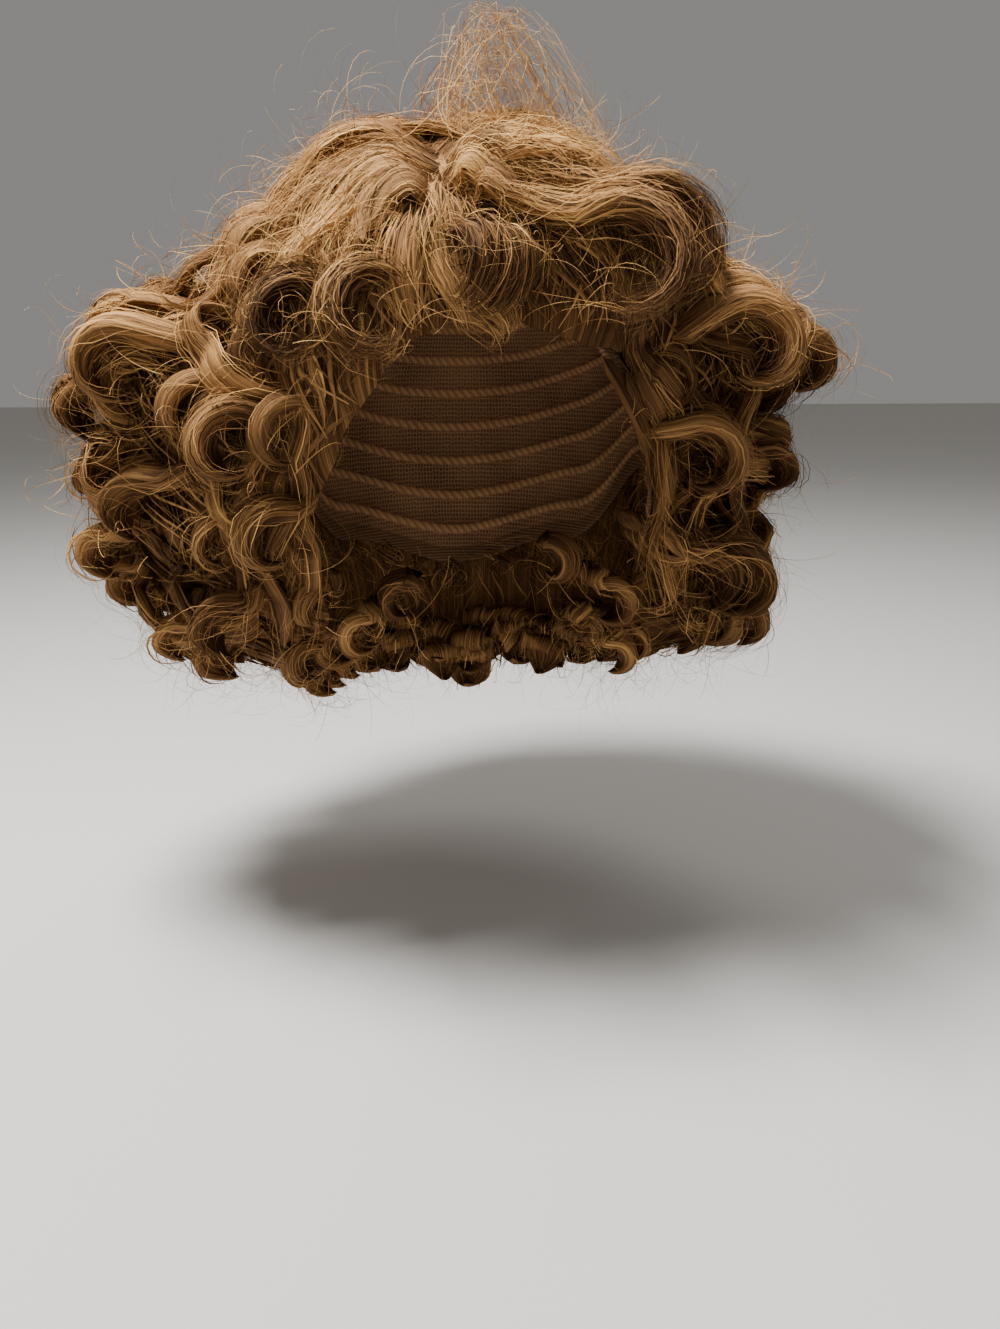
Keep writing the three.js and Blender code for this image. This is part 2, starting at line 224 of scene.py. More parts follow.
# Locks down the edge of the face opening: inset, rise, and first and last step on the edge's own scale.
# Locks at the right temple: azimuths, inset and rise. Locks inside: spacing, and where they start and end
EDGE_POLARS = np.linspace(64, 142, 60)
EDGE_AZIMUTHS = np.linspace(46, 120, 149)
EDGE_ROOM = 2
EDGE_PLACES = {
    "left_side": ((1, 0, 0, 40), (4, 3, 8, 50), (1, 2, 22, 59), (9, 5, 4, 36), (8, 4, 26, 59),
                  (14, 5, 14, 52)),
    "right_side": ((1, 0, 0, 40), (7, 3, 10, 50), (2, 2, 26, 59), (14, 5, 2, 34), (13, 5, 26, 57),
                   (-2, -20, 0, 34), (-3, -20, 14, 52)),
}
EDGE_WIDTHS = {"left_side": (8, 10), "right_side": (11, 14)}
EDGE_THICK = 0.36
EDGE_CLEAR = 3
EDGE_SWING, EDGE_WAVE = 2.5, 1.5
TEMPLE_PLACES = ((38, 70, 2.0, 2.0), (44, 74, -3.0, 4.5))
TEMPLE_HALF = (6.5, 2.2)
TEMPLE_WAVE = 0.8
INNER_SPACING = 7
INNER_INSET = 4
INNER_FACE = 74
INNER_START = 5
INNER_END = 140
INNER_THICK = 1.8
INNER_SWING, INNER_WAVE = 2.5, 1.4
INNER_RISES = (2.4, 1.5)
INNER_LAYER = (7, 3.5)

# Mat and hairline strands, single hairs, and the tuft of frizz over the crown
MAT_STRANDS = 1000
MAT_WIDTH = 2.2
MAT_LENGTH = 50.0
MAT_CLEAR = 1
MAT_SWING, MAT_WAVE = 3, 1.6
MAT_PAST = 4
HAIRLINE_STRANDS = 460
HAIRLINE_WIDTH = 0.7
HAIRLINE_LENGTH = 30.0
HAIRLINE_CLEAR = 0.4
SHORT_STEPS = 8
FLYAWAYS = {"fringe": 900, "crown": 800, "left_side": 1500, "right_side": 1000, "back": 420}
HAIR_WIDTH = 0.24
HAIR_STEPS = 11
HAIR_LENGTH = 60
FACE_FRONT = -55
FACE_TOP = -20
TUFT_HAIRS = 360
TUFT_STEPS = 17
TUFT_WISPS = 34
TUFT_FOOT = np.array([16.0, -22.0, 0.0])
TUFT_PEAK = np.array([6.0, -27.0, 70.0])
TUFT_SPREAD = (42, 36)
TUFT_DOME = 118
TUFT_KINKS = ((2.4, 2, 6), (0.9, 6, 18))
LOOPS = TUFT_HAIRS // 14
LOOP_PLACES = ((-50, -50, 0), (0, -8, 0))
LOOP_SINK = 3
LOOP_WIDTH = 0.26

# The room that the wig may take up, a little inside what the solids allow
SOFT_ROOM = 8.0
ROOM = 0.03 * (np.array(cad_box[1]) - np.array(cad_box[0])) / MM + 9
LIMIT_LOW, LIMIT_HIGH = np.array(cad_box[0]) / MM - ROOM, np.array(cad_box[1]) / MM + ROOM

# The cap's wall: sectors round, how far its rings are smoothed, its rows of weft and its hem tape
CAP_SECTORS = 150
RING_CALM = 36
CALM_STEP = 4
FINISH_DEPTH = 0.3
WEFT_ROWS = 13
WEFT_RISE = 0.9
WEFT_FOOT = 0.15
WEFT_SIDE = 0.12
WEFT_TOP = 0.09
HEM_WIDTH = 7.0
HEM_RISE = 0.55
HEM_SLOPE = 0.8
HEM_SHARE = 0.934
RIM_ROUND = 0.7
STITCHES = 110
STITCH_INSET = 2.0
STITCH_WIDTH = 0.45
STITCH_DEPTH = 0.35

# Finishes: colours from dark to light as paint values, and the height of the finest relief in metres
HAIR_COLOURS = ((50, 32, 20), (99, 69, 43), (156, 115, 71), (206, 159, 96), (238, 194, 124))
HAIR_SHEEN = (255, 218, 168)
NET_COLOURS = ((58, 38, 26), (176, 132, 90))
FLOOR_COLOUR = (206, 203, 198)
RELIEF = 0.0004

# The studio, in metres: floor, surround, lights (place, aim, size, power) and the camera
FLOOR_REACH = 6.0
FLOOR_HEIGHT = -0.3
SURROUND = dict(Color=(0.9, 0.88, 0.85, 1), Strength=0.28)
LIGHTS = {
    "key_light": ((-0.31, -0.08, 0.74), (0, -0.02, -0.07), 0.3, 28),
    "front_light": ((0.1, -1.3, 0.2), (0, 0, -0.1), 0.8, 2.3),
    "back_light": ((0.3, 0.7, 1.0), (0, 0, -0.05), 0.6, 5),
}
VIEW_PITCH, VIEW_YAW = np.radians(14.65), np.radians(6.5)
VIEW_PLACE = (-0.0443, -0.5032, -0.057)
VIEW_SENSOR = 36
PICTURE_HEIGHT = 1329
FOCAL_LENGTH = 1167
VIEW_START = 0.01


def eased(share):
    """A share from 0 to 1 that starts and ends gently."""
    share = np.clip(share, 0, 1)
    return share * share * (3 - 2 * share)


def between(low, high, share):
    return low + (high - low) * share


def curve(knots, share):
    """Places on a smooth curve from the first knot to the last, drawn towards those between."""
    while len(knots) > 1:
        knots = [between(low, high, share) for low, high in zip(knots, knots[1:])]
    return knots[0]


def from_table(keys, values, at):
    """The value of a table at places between its rows, eased so that the curve has no corners."""
    at = np.clip(at, keys[0], keys[-1])
    row = np.clip(np.searchsorted(keys, at) - 1, 0, len(keys) - 2)
    share = eased((at - keys[row]) / (keys[row + 1] - keys[row]))
    return between(values[row], values[row + 1], share)


def each(low, high, count):
    """A random value for each of a number of strands, as a column."""
    return rng.uniform(low, high, (count, 1))


def phases(count):
    return each(0, TURN, count)


def swaying(count, low, high, at):
    """A wave along each of a number of strands, with its own pace and start."""
    return np.sin(each(low, high, count) * at + phases(count))


def unit(vectors):
    return vectors / np.maximum(np.linalg.norm(vectors, axis=-1, keepdims=True), 1e-9)


def direction(azimuth, polar):
    azimuth, polar = np.radians(azimuth), np.radians(polar)
    return np.stack([np.sin(polar) * np.sin(azimuth), -np.sin(polar) * np.cos(azimuth),
                     np.cos(polar) + 0 * azimuth], -1)


def angles(spot):
    """The azimuth and the polar angle of a spot, seen from the middle."""
    way = unit(spot)
    polar = np.degrees(np.arccos(np.clip(way[..., 2], -1, 1)))
    return np.degrees(np.arctan2(way[..., 0], -way[..., 1])), polar


def across_of(line, way):
    """The way over the width of a lock that lies flat along its line."""
    return unit(np.cross(way, np.gradient(line, axis=0)))


def edge_polar(azimuth):
    """The polar angle of the cap's edge."""
    keys, values = np.array(CAP_EDGE, float).T
    return from_table(keys, values, np.abs((np.asarray(azimuth) + 180) % 360 - 180))


def cap_point(azimuth, polar, rise):
    """A point over the inside of the cap, raised along its own normal."""
    way = direction(azimuth, polar)
    return way * CAP_INSIDE + CAP_MIDDLE + unit(way / CAP_INSIDE) * np.asarray(rise)[..., None]


def mass_reach(azimuth, polar):
    """How far the hair's mass reaches from its middle."""
    azimuth, polar = np.broadcast_arrays(np.asarray(azimuth, float), np.asarray(polar, float))
    turn = (azimuth % 360) / 45
    low = turn.astype(int) % 8
    ways = np.stack([from_table(HAIR_MASS[:, 0], reach, polar) for reach in HAIR_MASS[:, 1:].T])
    near, far = (np.take_along_axis(ways, way[None] % 8, 0)[0] for way in (low, low + 1))
    wave = np.cos(np.radians(WAVES_ROUND * azimuth + WAVE_SLANT * polar)) * np.sin(np.radians(polar))
    return between(near, far, eased(turn % 1)) + WAVE_HEIGHT * wave


def under_reach(azimuth, polar):
    """How far the closed mass under the curls reaches."""
    return mass_reach(azimuth, polar) - UNDER_DEPTH


def placed(way, reach):
    return way * reach[..., None] + MASS_MIDDLE


def mass_point(azimuth, polar, rise):
    return placed(direction(azimuth, polar), mass_reach(azimuth, polar) + rise)


def lining_reach(way):
    """How far the room inside the cap and the open way below it reach from the middle of the mass."""
    size = CAP_INSIDE + HAIR_RISE
    start = (MASS_MIDDLE - CAP_MIDDLE) / size
    step = way / size
    a, b, c = (step * step).sum(-1), 2 * (step * start).sum(-1), (start * start).sum() - 1
    room = (-b + np.sqrt(np.maximum(b * b - 4 * a * c, 0))) / (2 * a)
    below = 1 / np.maximum(np.sqrt(((way[..., :2] / BELOW_SIZE) ** 2).sum(-1)), 1e-6)
    is_below = MASS_MIDDLE[2] + below * way[..., 2] < BELOW_TOP
    return np.where(is_below, np.maximum(room, below), room)


def lining_polar(azimuth):
    """The polar angle from the middle of the mass to the cap's edge."""
    return angles(cap_point(azimuth, edge_polar(azimuth), 0.0) - MASS_MIDDLE)[1]


def sampled(values, at):
    """Rows of an evenly spaced array at places between them, from 0 to 1."""
    place = np.clip(at, 0, 1) * (len(values) - 1)
    low = np.minimum(place.astype(int), len(values) - 2)
    return between(values[low], values[low + 1], (place - low)[..., None])


class Lock:
    """A lock's middle line with its frame: across runs over its width and out over its depth."""

    def __init__(self, line, across, half_width, half_thick, tone, root, tip, loose=1.0, dusk=0.0,
                 core_end=CORE_END):
        steps = np.linalg.norm(np.diff(line, axis=0), axis=1)
        so_far = np.concatenate([[0], np.cumsum(steps)])
        self.length = so_far[-1]
        even = np.linspace(0, self.length, LOCK_RINGS)
        self.line, across = (np.stack([np.interp(even, so_far, part[:, k]) for k in range(3)], 1)
                             for part in (line, across))
        tangent = unit(np.gradient(self.line, axis=0))
        self.across = unit(across - (across * tangent).sum(1, keepdims=True) * tangent)
        self.out = np.cross(tangent, self.across)
        turning = np.arccos(np.clip((tangent[1:] * tangent[:-1]).sum(1), -1, 1))
        pace = np.concatenate([[0], np.cumsum(self.length / LOCK_RINGS + BEND_PACE * turning)])
        self.pace = pace / pace[-1]
        self.steps = int(np.clip(6 + 1.7 * turning.sum(), *STRAND_STEPS))
        bend = (np.gradient(tangent, axis=0) * self.out).sum(1) * LOCK_RINGS / self.length
        self.inside = np.clip(bend * INSIDE_RADIUS, -1, 1)
        self.half_width, self.half_thick = half_width, half_thick
        self.root, self.tip, self.loose = root, tip, loose
        self.tone, self.dusk, self.core_end = tone, dusk, core_end

    def places(self, pace):
        """Places along the lock, closer together where it bends."""
        return np.interp(pace, self.pace, RINGS)

    def frame_at(self, at):
        return [sampled(part, at) for part in (self.line, self.across, self.out)]

    def shade(self, at, side):
        """Painted shade: the lock darkens on the inside of its bends and towards its end."""
        inside = np.maximum(np.interp(at, RINGS, self.inside) * side, 0)
        return -INSIDE_SHADE * inside - self.dusk * eased((at - 0.35) / 0.45)

    def fullness(self, along):
        """How full the lock is: narrow at the root, full over its body and drawn out at the tip."""
        opening = between(self.root, 1, eased(along / 0.35))
        return opening * between(1, self.tip, eased((along - 0.55) / 0.45))


def curl_lock(row, azimuth, polar, offset, veer, size, proud, turn, fan):
    """The line of one lock of a barrel curl: a lead from the root, then a roll."""
    heading = azimuth + row["veer"] + veer
    away, axis = direction(heading, 90), direction(heading + 90, 90)
    root_azimuth, root_polar = azimuth + row["sweep"], polar - row["climb"]
    root = mass_point(root_azimuth, root_polar, row["root"])
    rise = direction(root_azimuth, root_polar)
    radius = row["roll"] * size
    span = mass_point(azimuth, polar, row["proud"] + proud) - root
    middle = np.array([span @ away, span[2]])
    entry = np.radians(ROLL_ENTRY)
    start = middle + radius * np.array([np.cos(entry), np.sin(entry)])
    handle = np.linalg.norm(start) * LEAD_HANDLE
    lift = unit(unit(np.array([rise @ away, rise[2]])) * ROOT_LIFT + unit(start))
    before = start + handle * np.array([-np.sin(entry), np.cos(entry)])
    lead = curve([np.zeros(2), lift * handle, before, start], np.linspace(0, 1, LEAD_STEPS)[:, None])
    turned = np.linspace(0, 1, ROLL_STEPS)[1:]
    angle = entry - np.radians(row["turn"] * turn) * turned
    reach = radius * between(1, row["close"], turned)
    roll = middle + np.stack([np.cos(angle), np.sin(angle)], 1) * reach[:, None]
    flat = np.concatenate([lead, roll])
    along = np.linspace(0, 1, len(flat))
    aside = (span @ axis) * eased(along * 1.3) + offset * between(0.7, 1, eased(along * 3))
    aside = aside + fan * along ** 2
    line = root + flat[:, :1] * away + aside[:, None] * axis
    line[:, 2] += flat[:, 1]
    return line, np.repeat(axis[None], len(flat), 0)


def curl_ends(section, row):
    """How the curls of a row are drawn out at their ends: those at the hem stay full."""
    barrel = section == "fringe" and row["start"] > BARREL_AZIMUTH
    # Painted shade: the curls darken towards their ends, most in the fringe's big roll
    ends = dict(root=0.9, dusk=BARREL_END_SHADE if barrel else END_SHADE[section])
    if row["polar"] > HEM_POLAR:
        return dict(ends, tip=0.8, core_end=0.9)
    return dict(ends, tip=0.5, loose=LOOSENESS[section])


def curl_row(section, row):
    """The locks of a row: a few side by side in each barrel, and smaller ones between barrels."""
    count, abreast, ease, ends = row["count"], row["abreast"], ROW_EASE[section], curl_ends(section, row)
    locks = []
    for index in range(count):
        azimuth = between(row["start"], row["end"], index / (count - 1) if count > 1 else 0.5)
        polar = row["polar"] + ROW_STAGGER * (1 if index % 2 else -0.5)
        size = (ODD_SHARE if index % 2 else 1) * rng.uniform(0.98, 1.06)
        shade, veer, fan = rng.normal(0, 0.04), rng.normal(0, 5 * ease), rng.uniform(1, 6)
        # Painted shade: the curls low in the fringe, under the band, are darker
        shade -= LOW_FRINGE_SHADE if section == "fringe" and azimuth < BARREL_AZIMUTH else 0
        polar += rng.normal(0, 1.6) * (ease - 1)
        for place in range(abreast):
            side = (place + 0.5) / abreast * 2 - 1
            bulge = np.sqrt(1 - 0.3 * side * side)
            line, across = curl_lock(
                row, azimuth, polar + rng.normal(0, 1.2), offset=side * row["width"] / 2 * BARREL_SPREAD,
                veer=veer + rng.normal(0, 4), size=size * bulge * rng.uniform(0.92, 1.08),
                proud=rng.normal(0, 1.2), turn=rng.uniform(0.82, 1.08), fan=fan * side + rng.normal(0, 3))
            half_width, half_thick = row["width"] / abreast * BARREL_FILL, row["thick"] / 2 * BARREL_FILL
            locks.append(Lock(line, across, half_width, half_thick, shade + rng.normal(0, 0.03), **ends))
    if count > 1:
        spacing = (row["end"] - row["start"]) / (count - 1)
        first, last, _ = SECTIONS[section]
        for gap in range(count + 1):
            azimuth = np.clip(row["start"] + spacing * (gap - 0.5), first + GAP_INSET, last - GAP_INSET)
            line, across = curl_lock(
                row, azimuth, row["polar"] + rng.uniform(-2, 9), offset=rng.normal(0, 4),
                veer=rng.normal(0, 16), size=rng.uniform(0.7, 0.95), proud=GAP_SINK + rng.normal(0, 2),
                turn=rng.uniform(0.8, 1.05), fan=rng.normal(0, 8))
            half_width, half_thick = rng.uniform(11, 14), rng.uniform(5, 6.5)
            locks.append(Lock(line, across, half_width, half_thick, rng.normal(-0.04, 0.05), **ends))
    return locks


def curl_locks(section, rows):
    kind = FRINGE_CURL if section == "fringe" else HANGING_CURL
    rows = [dict(kind, **dict(zip(CURL_COLUMNS, row))) for row in rows]
    return [lock for row in rows for lock in curl_row(section, row)]


def laid_lock(root, tip, rise, half_width, half_thick, waves, bow, curl=0.0, radius=10.0, height=2.5,
              swing=3, shade=0.0):
    """A lock laid over the mass from root to tip, waved and bowed, and curled up or under at its end."""
    first, last = direction(*root), direction(*tip)
    middle = unit(first + last) + bow * np.cross(first, last)
    t = np.linspace(0, 1, LAID_STEPS)
    way = unit(curve([first, middle, last], t[:, None]))
    beat = 2 * np.pi * waves * t + rng.uniform(0, 2 * np.pi)
    lift = between(LAID_SINK, rise, eased(t / 0.3)) + height * np.sin(beat) * eased(t / 0.4)
    line = mass_point(*angles(way), lift)
    across = across_of(line, way)
    line = line + across * (swing * np.sin(beat + 1.2) * eased(t / 0.5))[:, None]
    if curl:
        ahead, outward = unit(line[-1] - line[-3]), way[-1]
        outward = unit(outward - (outward @ ahead) * ahead) * np.sign(curl)
        turned = np.linspace(0, 1, CURL_STEPS)[:, None]
        angle = np.linspace(0, np.radians(abs(curl)), CURL_STEPS + 1)[1:, None]
        reach = radius * between(1, 0.6, turned)
        middle = line[-1] + outward * radius
        drift = across[-1] * rng.normal(0, 8) * turned ** 2
        bend = middle - outward * reach * np.cos(angle) + ahead * reach * np.sin(angle) + drift
        line = np.concatenate([line, bend])
        across = np.concatenate([across, np.repeat(across[-1:], CURL_STEPS, 0)])
    return Lock(line, across, half_width, half_thick, shade + rng.normal(0, 0.07), root=0.55, tip=0.3)


def part_place(share):
    """A spot on the part, as azimuth and polar angle, from its front end to its back end."""
    return angles(curve(PART_LINE, share) - MASS_MIDDLE)


def crown_locks():
    """Waves that leave the part to the left, to the right and to the back."""
    locks = []
    for start, end, count, bow in CROWN_FANS:
        for layer, rise in enumerate(CROWN_RISES):
            for index in range(count):
                share = (index + 0.5 * layer) / count
                azimuth, polar = part_place(np.clip(share * 1.05 - 0.02, 0, 1))
                tip = between(start, end, share) + rng.normal(0, 3)
                locks.append(laid_lock(
                    (azimuth + rng.normal(0, 2), polar + rng.normal(0, 1.5)),
                    (tip, rng.uniform(48, 60) - 4 * layer), rise=rise + rng.normal(0, 1.5),
                    half_width=rng.uniform(9, 13), half_thick=rng.uniform(3, 4.5),
                    waves=rng.uniform(1.0, 1.5), bow=rng.normal(bow, 0.08), **CROWN_WAVES))
    start, end, count = CROWN_BACK
    for layer, rise in enumerate(CROWN_BACK_RISES):
        for index in range(count):
            tip = between(start, end, (index + 0.5 * layer) / (count - 0.5))
            locks.append(laid_lock(
                (between(-160, 160, rng.uniform()) + 180, rng.uniform(8, 20)),
                (tip + rng.normal(0, 3), rng.uniform(46, 56)), rise=rise, half_width=rng.uniform(10, 14),
                half_thick=4, waves=rng.uniform(1.0, 1.6), bow=rng.normal(0, 0.1), **CROWN_WAVES))
    return locks


def cover_locks(section):
    """Looser locks over the rows, curled up or under: longer ones on top and loops lower down."""
    locks = []
    for polar in COVER_POLARS[section]:
        high = polar < COVER_HIGH
        first, last = SECTIONS[section][:2] if high else COVER_LOW_RANGES[section]
        spacing, spans, turns = (15, (20, 28), (120, 220)) if high else (13, (9, 15), (220, 320))
        count = max(2, round((last - first) / spacing))
        for index in range(count):
            azimuth = between(first, last, (index + rng.uniform(0.2, 0.8)) / count)
            span = rng.uniform(*spans)
            turn = rng.choice([-1, -1, 1 if high else -1]) * rng.uniform(*turns)
            locks.append(laid_lock(
                (azimuth + rng.normal(0, 5), polar), (azimuth + rng.normal(0, 8), polar + span),
                rise=rng.uniform(3, 8), half_width=rng.uniform(9, 13), half_thick=rng.uniform(2.8, 4),
                waves=rng.uniform(0.6, 1.2), bow=rng.normal(0, 0.15), curl=turn,
                radius=rng.uniform(10, 15)))
    return locks


def fringe_locks():
    """Locks that sweep from the part over the front, between and behind the rolled ones."""
    locks = []
    for first, last, count, foot, rise, bow, under, shade in FRINGE_SWEEPS:
        for index in range(count):
            share = (index + 0.5) / count
            azimuth, polar = part_place(0.3 * (1 - share if first < 0 else share) * rng.uniform())
            tip = between(first, last, share) + rng.normal(0, 2)
            locks.append(laid_lock(
                (azimuth + rng.normal(0, 2), polar + rng.normal(0, 1.5)), (tip, foot + rng.normal(0, 2)),
                rise=rise + rng.normal(0, 1), half_width=rng.uniform(8, 11),
                half_thick=rng.uniform(2.6, 3.6), waves=rng.uniform(0.6, 1.0), bow=rng.normal(bow, 0.08),
                curl=-under * rng.uniform(0.7, 1.2), radius=rng.uniform(8, 12), shade=shade))
    return locks


def face_edge_locks(section):
    """Locks down the edge of the face opening, on the side of the section."""
    side = -1 if section == "left_side" else 1
    around, down = EDGE_AZIMUTHS[None], EDGE_POLARS[:, None]
    room = under_reach(side * around, down) - lining_reach(direction(around, down))
    edge = EDGE_AZIMUTHS[np.argmax(room > EDGE_ROOM, axis=1)]
    scale = np.arange(len(EDGE_POLARS))
    locks = []
    for inset, rise, top, foot in EDGE_PLACES[section]:
        rows = np.linspace(top, foot, LAID_STEPS)
        beat = np.linspace(0, 2 * np.pi * rng.uniform(1.2, 2.0), LAID_STEPS) + rng.uniform(0, TURN)
        around = side * (np.interp(rows, scale, edge) + inset + EDGE_SWING * np.sin(beat))
        down = np.interp(rows, scale, EDGE_POLARS)
        way = direction(around, down)
        reach = np.maximum(under_reach(around, down) + rise, lining_reach(way) + EDGE_CLEAR)
        line = placed(way, reach + EDGE_WAVE * np.cos(beat))
        wide = rng.uniform(*EDGE_WIDTHS[section])
        tone = rng.normal(-0.12, 0.04)
        locks.append(Lock(line, across_of(line, way), wide, EDGE_THICK * wide, tone, 0.7, 0.5, loose=0.6))
    return locks


def temple_locks():
    """Dark locks down the cap's edge at the right temple, under the fringe, darkened with painted shade.
    """
    locks = []
    for start, end, inset, rise in TEMPLE_PLACES:
        azimuth = np.linspace(start, end, LAID_STEPS)
        edge = edge_polar(azimuth)
        beat = np.linspace(0, 9, LAID_STEPS) + rng.uniform(0, TURN)
        line = cap_point(azimuth, edge + inset + np.sin(beat), rise + TEMPLE_WAVE * np.cos(beat))
        across = across_of(line, direction(azimuth, edge))
        locks.append(Lock(line, across, *TEMPLE_HALF, rng.normal(-0.24, 0.03), 0.7, 0.5, loose=0.5))
    return locks


def inner_locks(section):
    """Locks that hang from under the cap's edge down the inside, seen through the face opening."""
    first, last, _ = SECTIONS[section]
    t = np.linspace(0, 1, 40)
    locks = []
    for azimuth in np.arange(first + INNER_INSET, last, INNER_SPACING):
        if abs(azimuth) < INNER_FACE:
            continue
        for layer in range(2):
            at = azimuth + rng.normal(0, 2)
            foot = INNER_END - INNER_LAYER[0] * layer + rng.normal(0, 3)
            polar = between(lining_polar(at) - INNER_START, foot, t)
            beat = t * 2 * np.pi * rng.uniform(1.2, 2) + rng.uniform(0, TURN)
            way = direction(at + INNER_SWING * np.sin(beat), polar)
            low = INNER_RISES[1] - INNER_LAYER[1] * layer
            reach = lining_reach(way) + between(INNER_RISES[0], low, eased(t * 2.5))
            line = placed(way, reach + INNER_WAVE * np.cos(beat) * eased(t * 2))
            # Painted shade: the locks inside the wig are darker
            half_width, tone, across = rng.uniform(7, 10), rng.normal(-0.18, 0.06), -across_of(line, way)
            locks.append(Lock(line, across, half_width, INNER_THICK, tone, 0.7, 0.4, loose=0.35))
    return locks


class Fibres:
    """Collects the meshes of one piece of hair: points, faces, normals and what its finish needs."""

    def __init__(self):
        self.layers = {key: [] for key in ("points", "normals", "grain", "tone", "along")}
        self.quads, self.cells, self.total = [], [], 0

    def add_grid(self, points, normals, tone, along, grain, closed):
        """A batch of grids (count, rows, columns, 3). Closed ones join their last column to the first."""
        count, rows, columns = shape = points.shape[:3]
        ids = self.total + np.arange(count * rows * columns).reshape(shape)
        if closed:
            ids = np.concatenate([ids, ids[:, :, :1]], 2)
        quads = np.stack([ids[:, :-1, :-1], ids[:, :-1, 1:], ids[:, 1:, 1:], ids[:, 1:, :-1]], -1)
        for key, values in dict(points=points, normals=normals, grain=grain).items():
            self.layers[key].append(np.broadcast_to(values, points.shape).reshape(-1, 3))
        for key, values in dict(tone=tone, along=along).items():
            self.layers[key].append(np.broadcast_to(values, shape).ravel())
        self.quads.append(quads.reshape(-1, 4))
        self.cells.append((count, rows - 1, ids.shape[2] - 1))
        self.total += count * rows * columns

    def add_ribbons(self, middle, side, facing, half, bulge, tilt, tone, along, grain):
        """A batch of ribbons along their middle lines, with faces rounded by their normals."""
        points = np.stack([middle - side * half, middle + side * half], 2)
        normals = np.stack([unit(facing - side * (bulge - tilt)), unit(facing + side * (bulge + tilt))], 2)
        self.add_grid(points, normals, tone, along, grain, False)

    def triangles(self):
        return 2 * sum(len(quads) for quads in self.quads)


def grain_of(across, along, bundle):
    """Where a point lies in its bundle of fibres, across and along, and which bundle it is."""
    return np.stack(np.broadcast_arrays(across, along, bundle), -1)


def lay_ribbons(fibres, middle, facing, width, tone, along, length):
    """Flat tapered strands along their middle lines."""
    count, steps = middle.shape[:2]
    tangent = unit(np.gradient(middle, axis=1))
    side = unit(np.cross(tangent, facing))
    facing = np.cross(side, tangent)
    share = np.linspace(0, 1, steps)
    taper = between(0.5, 1, eased(share / 0.2)) * between(1, 0.15, eased((share - 0.6) / 0.4))
    half = (width * each(0.6, 1.3, count) / 2 * taper)[..., None]
    tilt = rng.normal(0, 0.2, (count, 1, 1))
    bulge = 0.15 if width > BROAD_STRAND else 0.35
    along = np.broadcast_to(along, (count, steps))[..., None]
    edge = np.concatenate([-half, half], -1) + rng.uniform(0, 900, (count, 1, 1))
    grain = grain_of(edge, along * length, rng.uniform(0, 90, (count, 1, 1)))
    fibres.add_ribbons(middle, side, facing, half, bulge, tilt, tone, along, grain)


def lay_strands(fibres, lock, count, width, depths, loose, lighter):
    """Flat strands laid round a lock's oval, wandering a little, each with its own length and tone."""
    # lighter is painted light: finer strands are made lighter, as if light shone through them
    start, stop = each(0, 0.14, count), each(0.74, 1.0, count)
    at = lock.places(between(start, stop, np.linspace(0, 1, lock.steps)))
    line, across, out = lock.frame_at(at)
    turn = each(0, 2 * np.pi, count) + rng.normal(0, 0.6, (count, 1)) * at
    depth = np.sqrt(each(depths[0] ** 2, depths[1] ** 2, count))
    wander, crimp = loose * lock.loose * (0.3 + at), CRIMP * np.sqrt(loose)
    drift = [wander * swaying(count, 3, 12, at) + crimp * swaying(count, 14, 34, at) for _ in range(2)]
    half_width, half_thick = (half * lock.fullness(at) for half in (lock.half_width, lock.half_thick))
    wide = (half_width * depth * np.cos(turn) + drift[0])[..., None]
    deep = (half_thick * depth * np.sin(turn) + drift[1])[..., None]
    facing = unit(across * (np.cos(turn) / np.maximum(half_width, 1))[..., None]
                  + out * (np.sin(turn) / np.maximum(half_thick, 1))[..., None])
    # Painted shade: strands that lie deeper in the lock are darker
    tone = lock.tone + lighter + rng.normal(0, 0.1, (count, 1, 1)) - (1.0 - depth[..., None]) * DEPTH_SHADE
    tone = tone + lock.shade(at, np.sin(turn))[..., None]
    lay_ribbons(fibres, line + across * wide + out * deep, facing, width, tone, at, lock.length)


def lay_core(fibres, lock):
    """The lock's body under its strands: a closed tube with sides ridged like gathered fibres."""
    sides = CORE_SIDES[lock.half_width > BROAD_LOCK]
    at = lock.places(np.linspace(0, lock.core_end, CORE_RINGS))
    line, across, out = (part[:, None] for part in lock.frame_at(at))
    turn = np.linspace(0, 2 * np.pi, sides, endpoint=False)
    ridge = rng.uniform(0.6, 0.84, sides) + 0.06 * np.sin(at[:, None] * 9 + rng.uniform(0, TURN, sides))
    full = lock.fullness(at) * between(1, 0.2, eased((at / at[-1] - 0.7) / 0.3))
    full[0] = full[-1] = 0.02
    wide = lock.half_width * full[:, None] * ridge * np.cos(turn)
    deep = lock.half_thick * full[:, None] * ridge * np.sin(turn)
    points = line + across * wide[..., None] + out * deep[..., None]
    normals = unit(across * (np.cos(turn) / lock.half_width)[None, :, None]
                   + out * (np.sin(turn) / lock.half_thick)[None, :, None])
    around = lock.half_width * (1 - np.cos(turn)) + lock.half_thick * np.abs(np.sin(turn))
    grain = grain_of(around[None, None], at[None, :, None] * lock.length, rng.uniform(0, 90))
    # Painted shade: the core is darker than the strands over it
    tone = lock.tone - CORE_SHADE + lock.shade(at[:, None], np.sin(turn))[None]
    fibres.add_grid(points[None], normals[None], tone, at[None, :, None], grain, True)


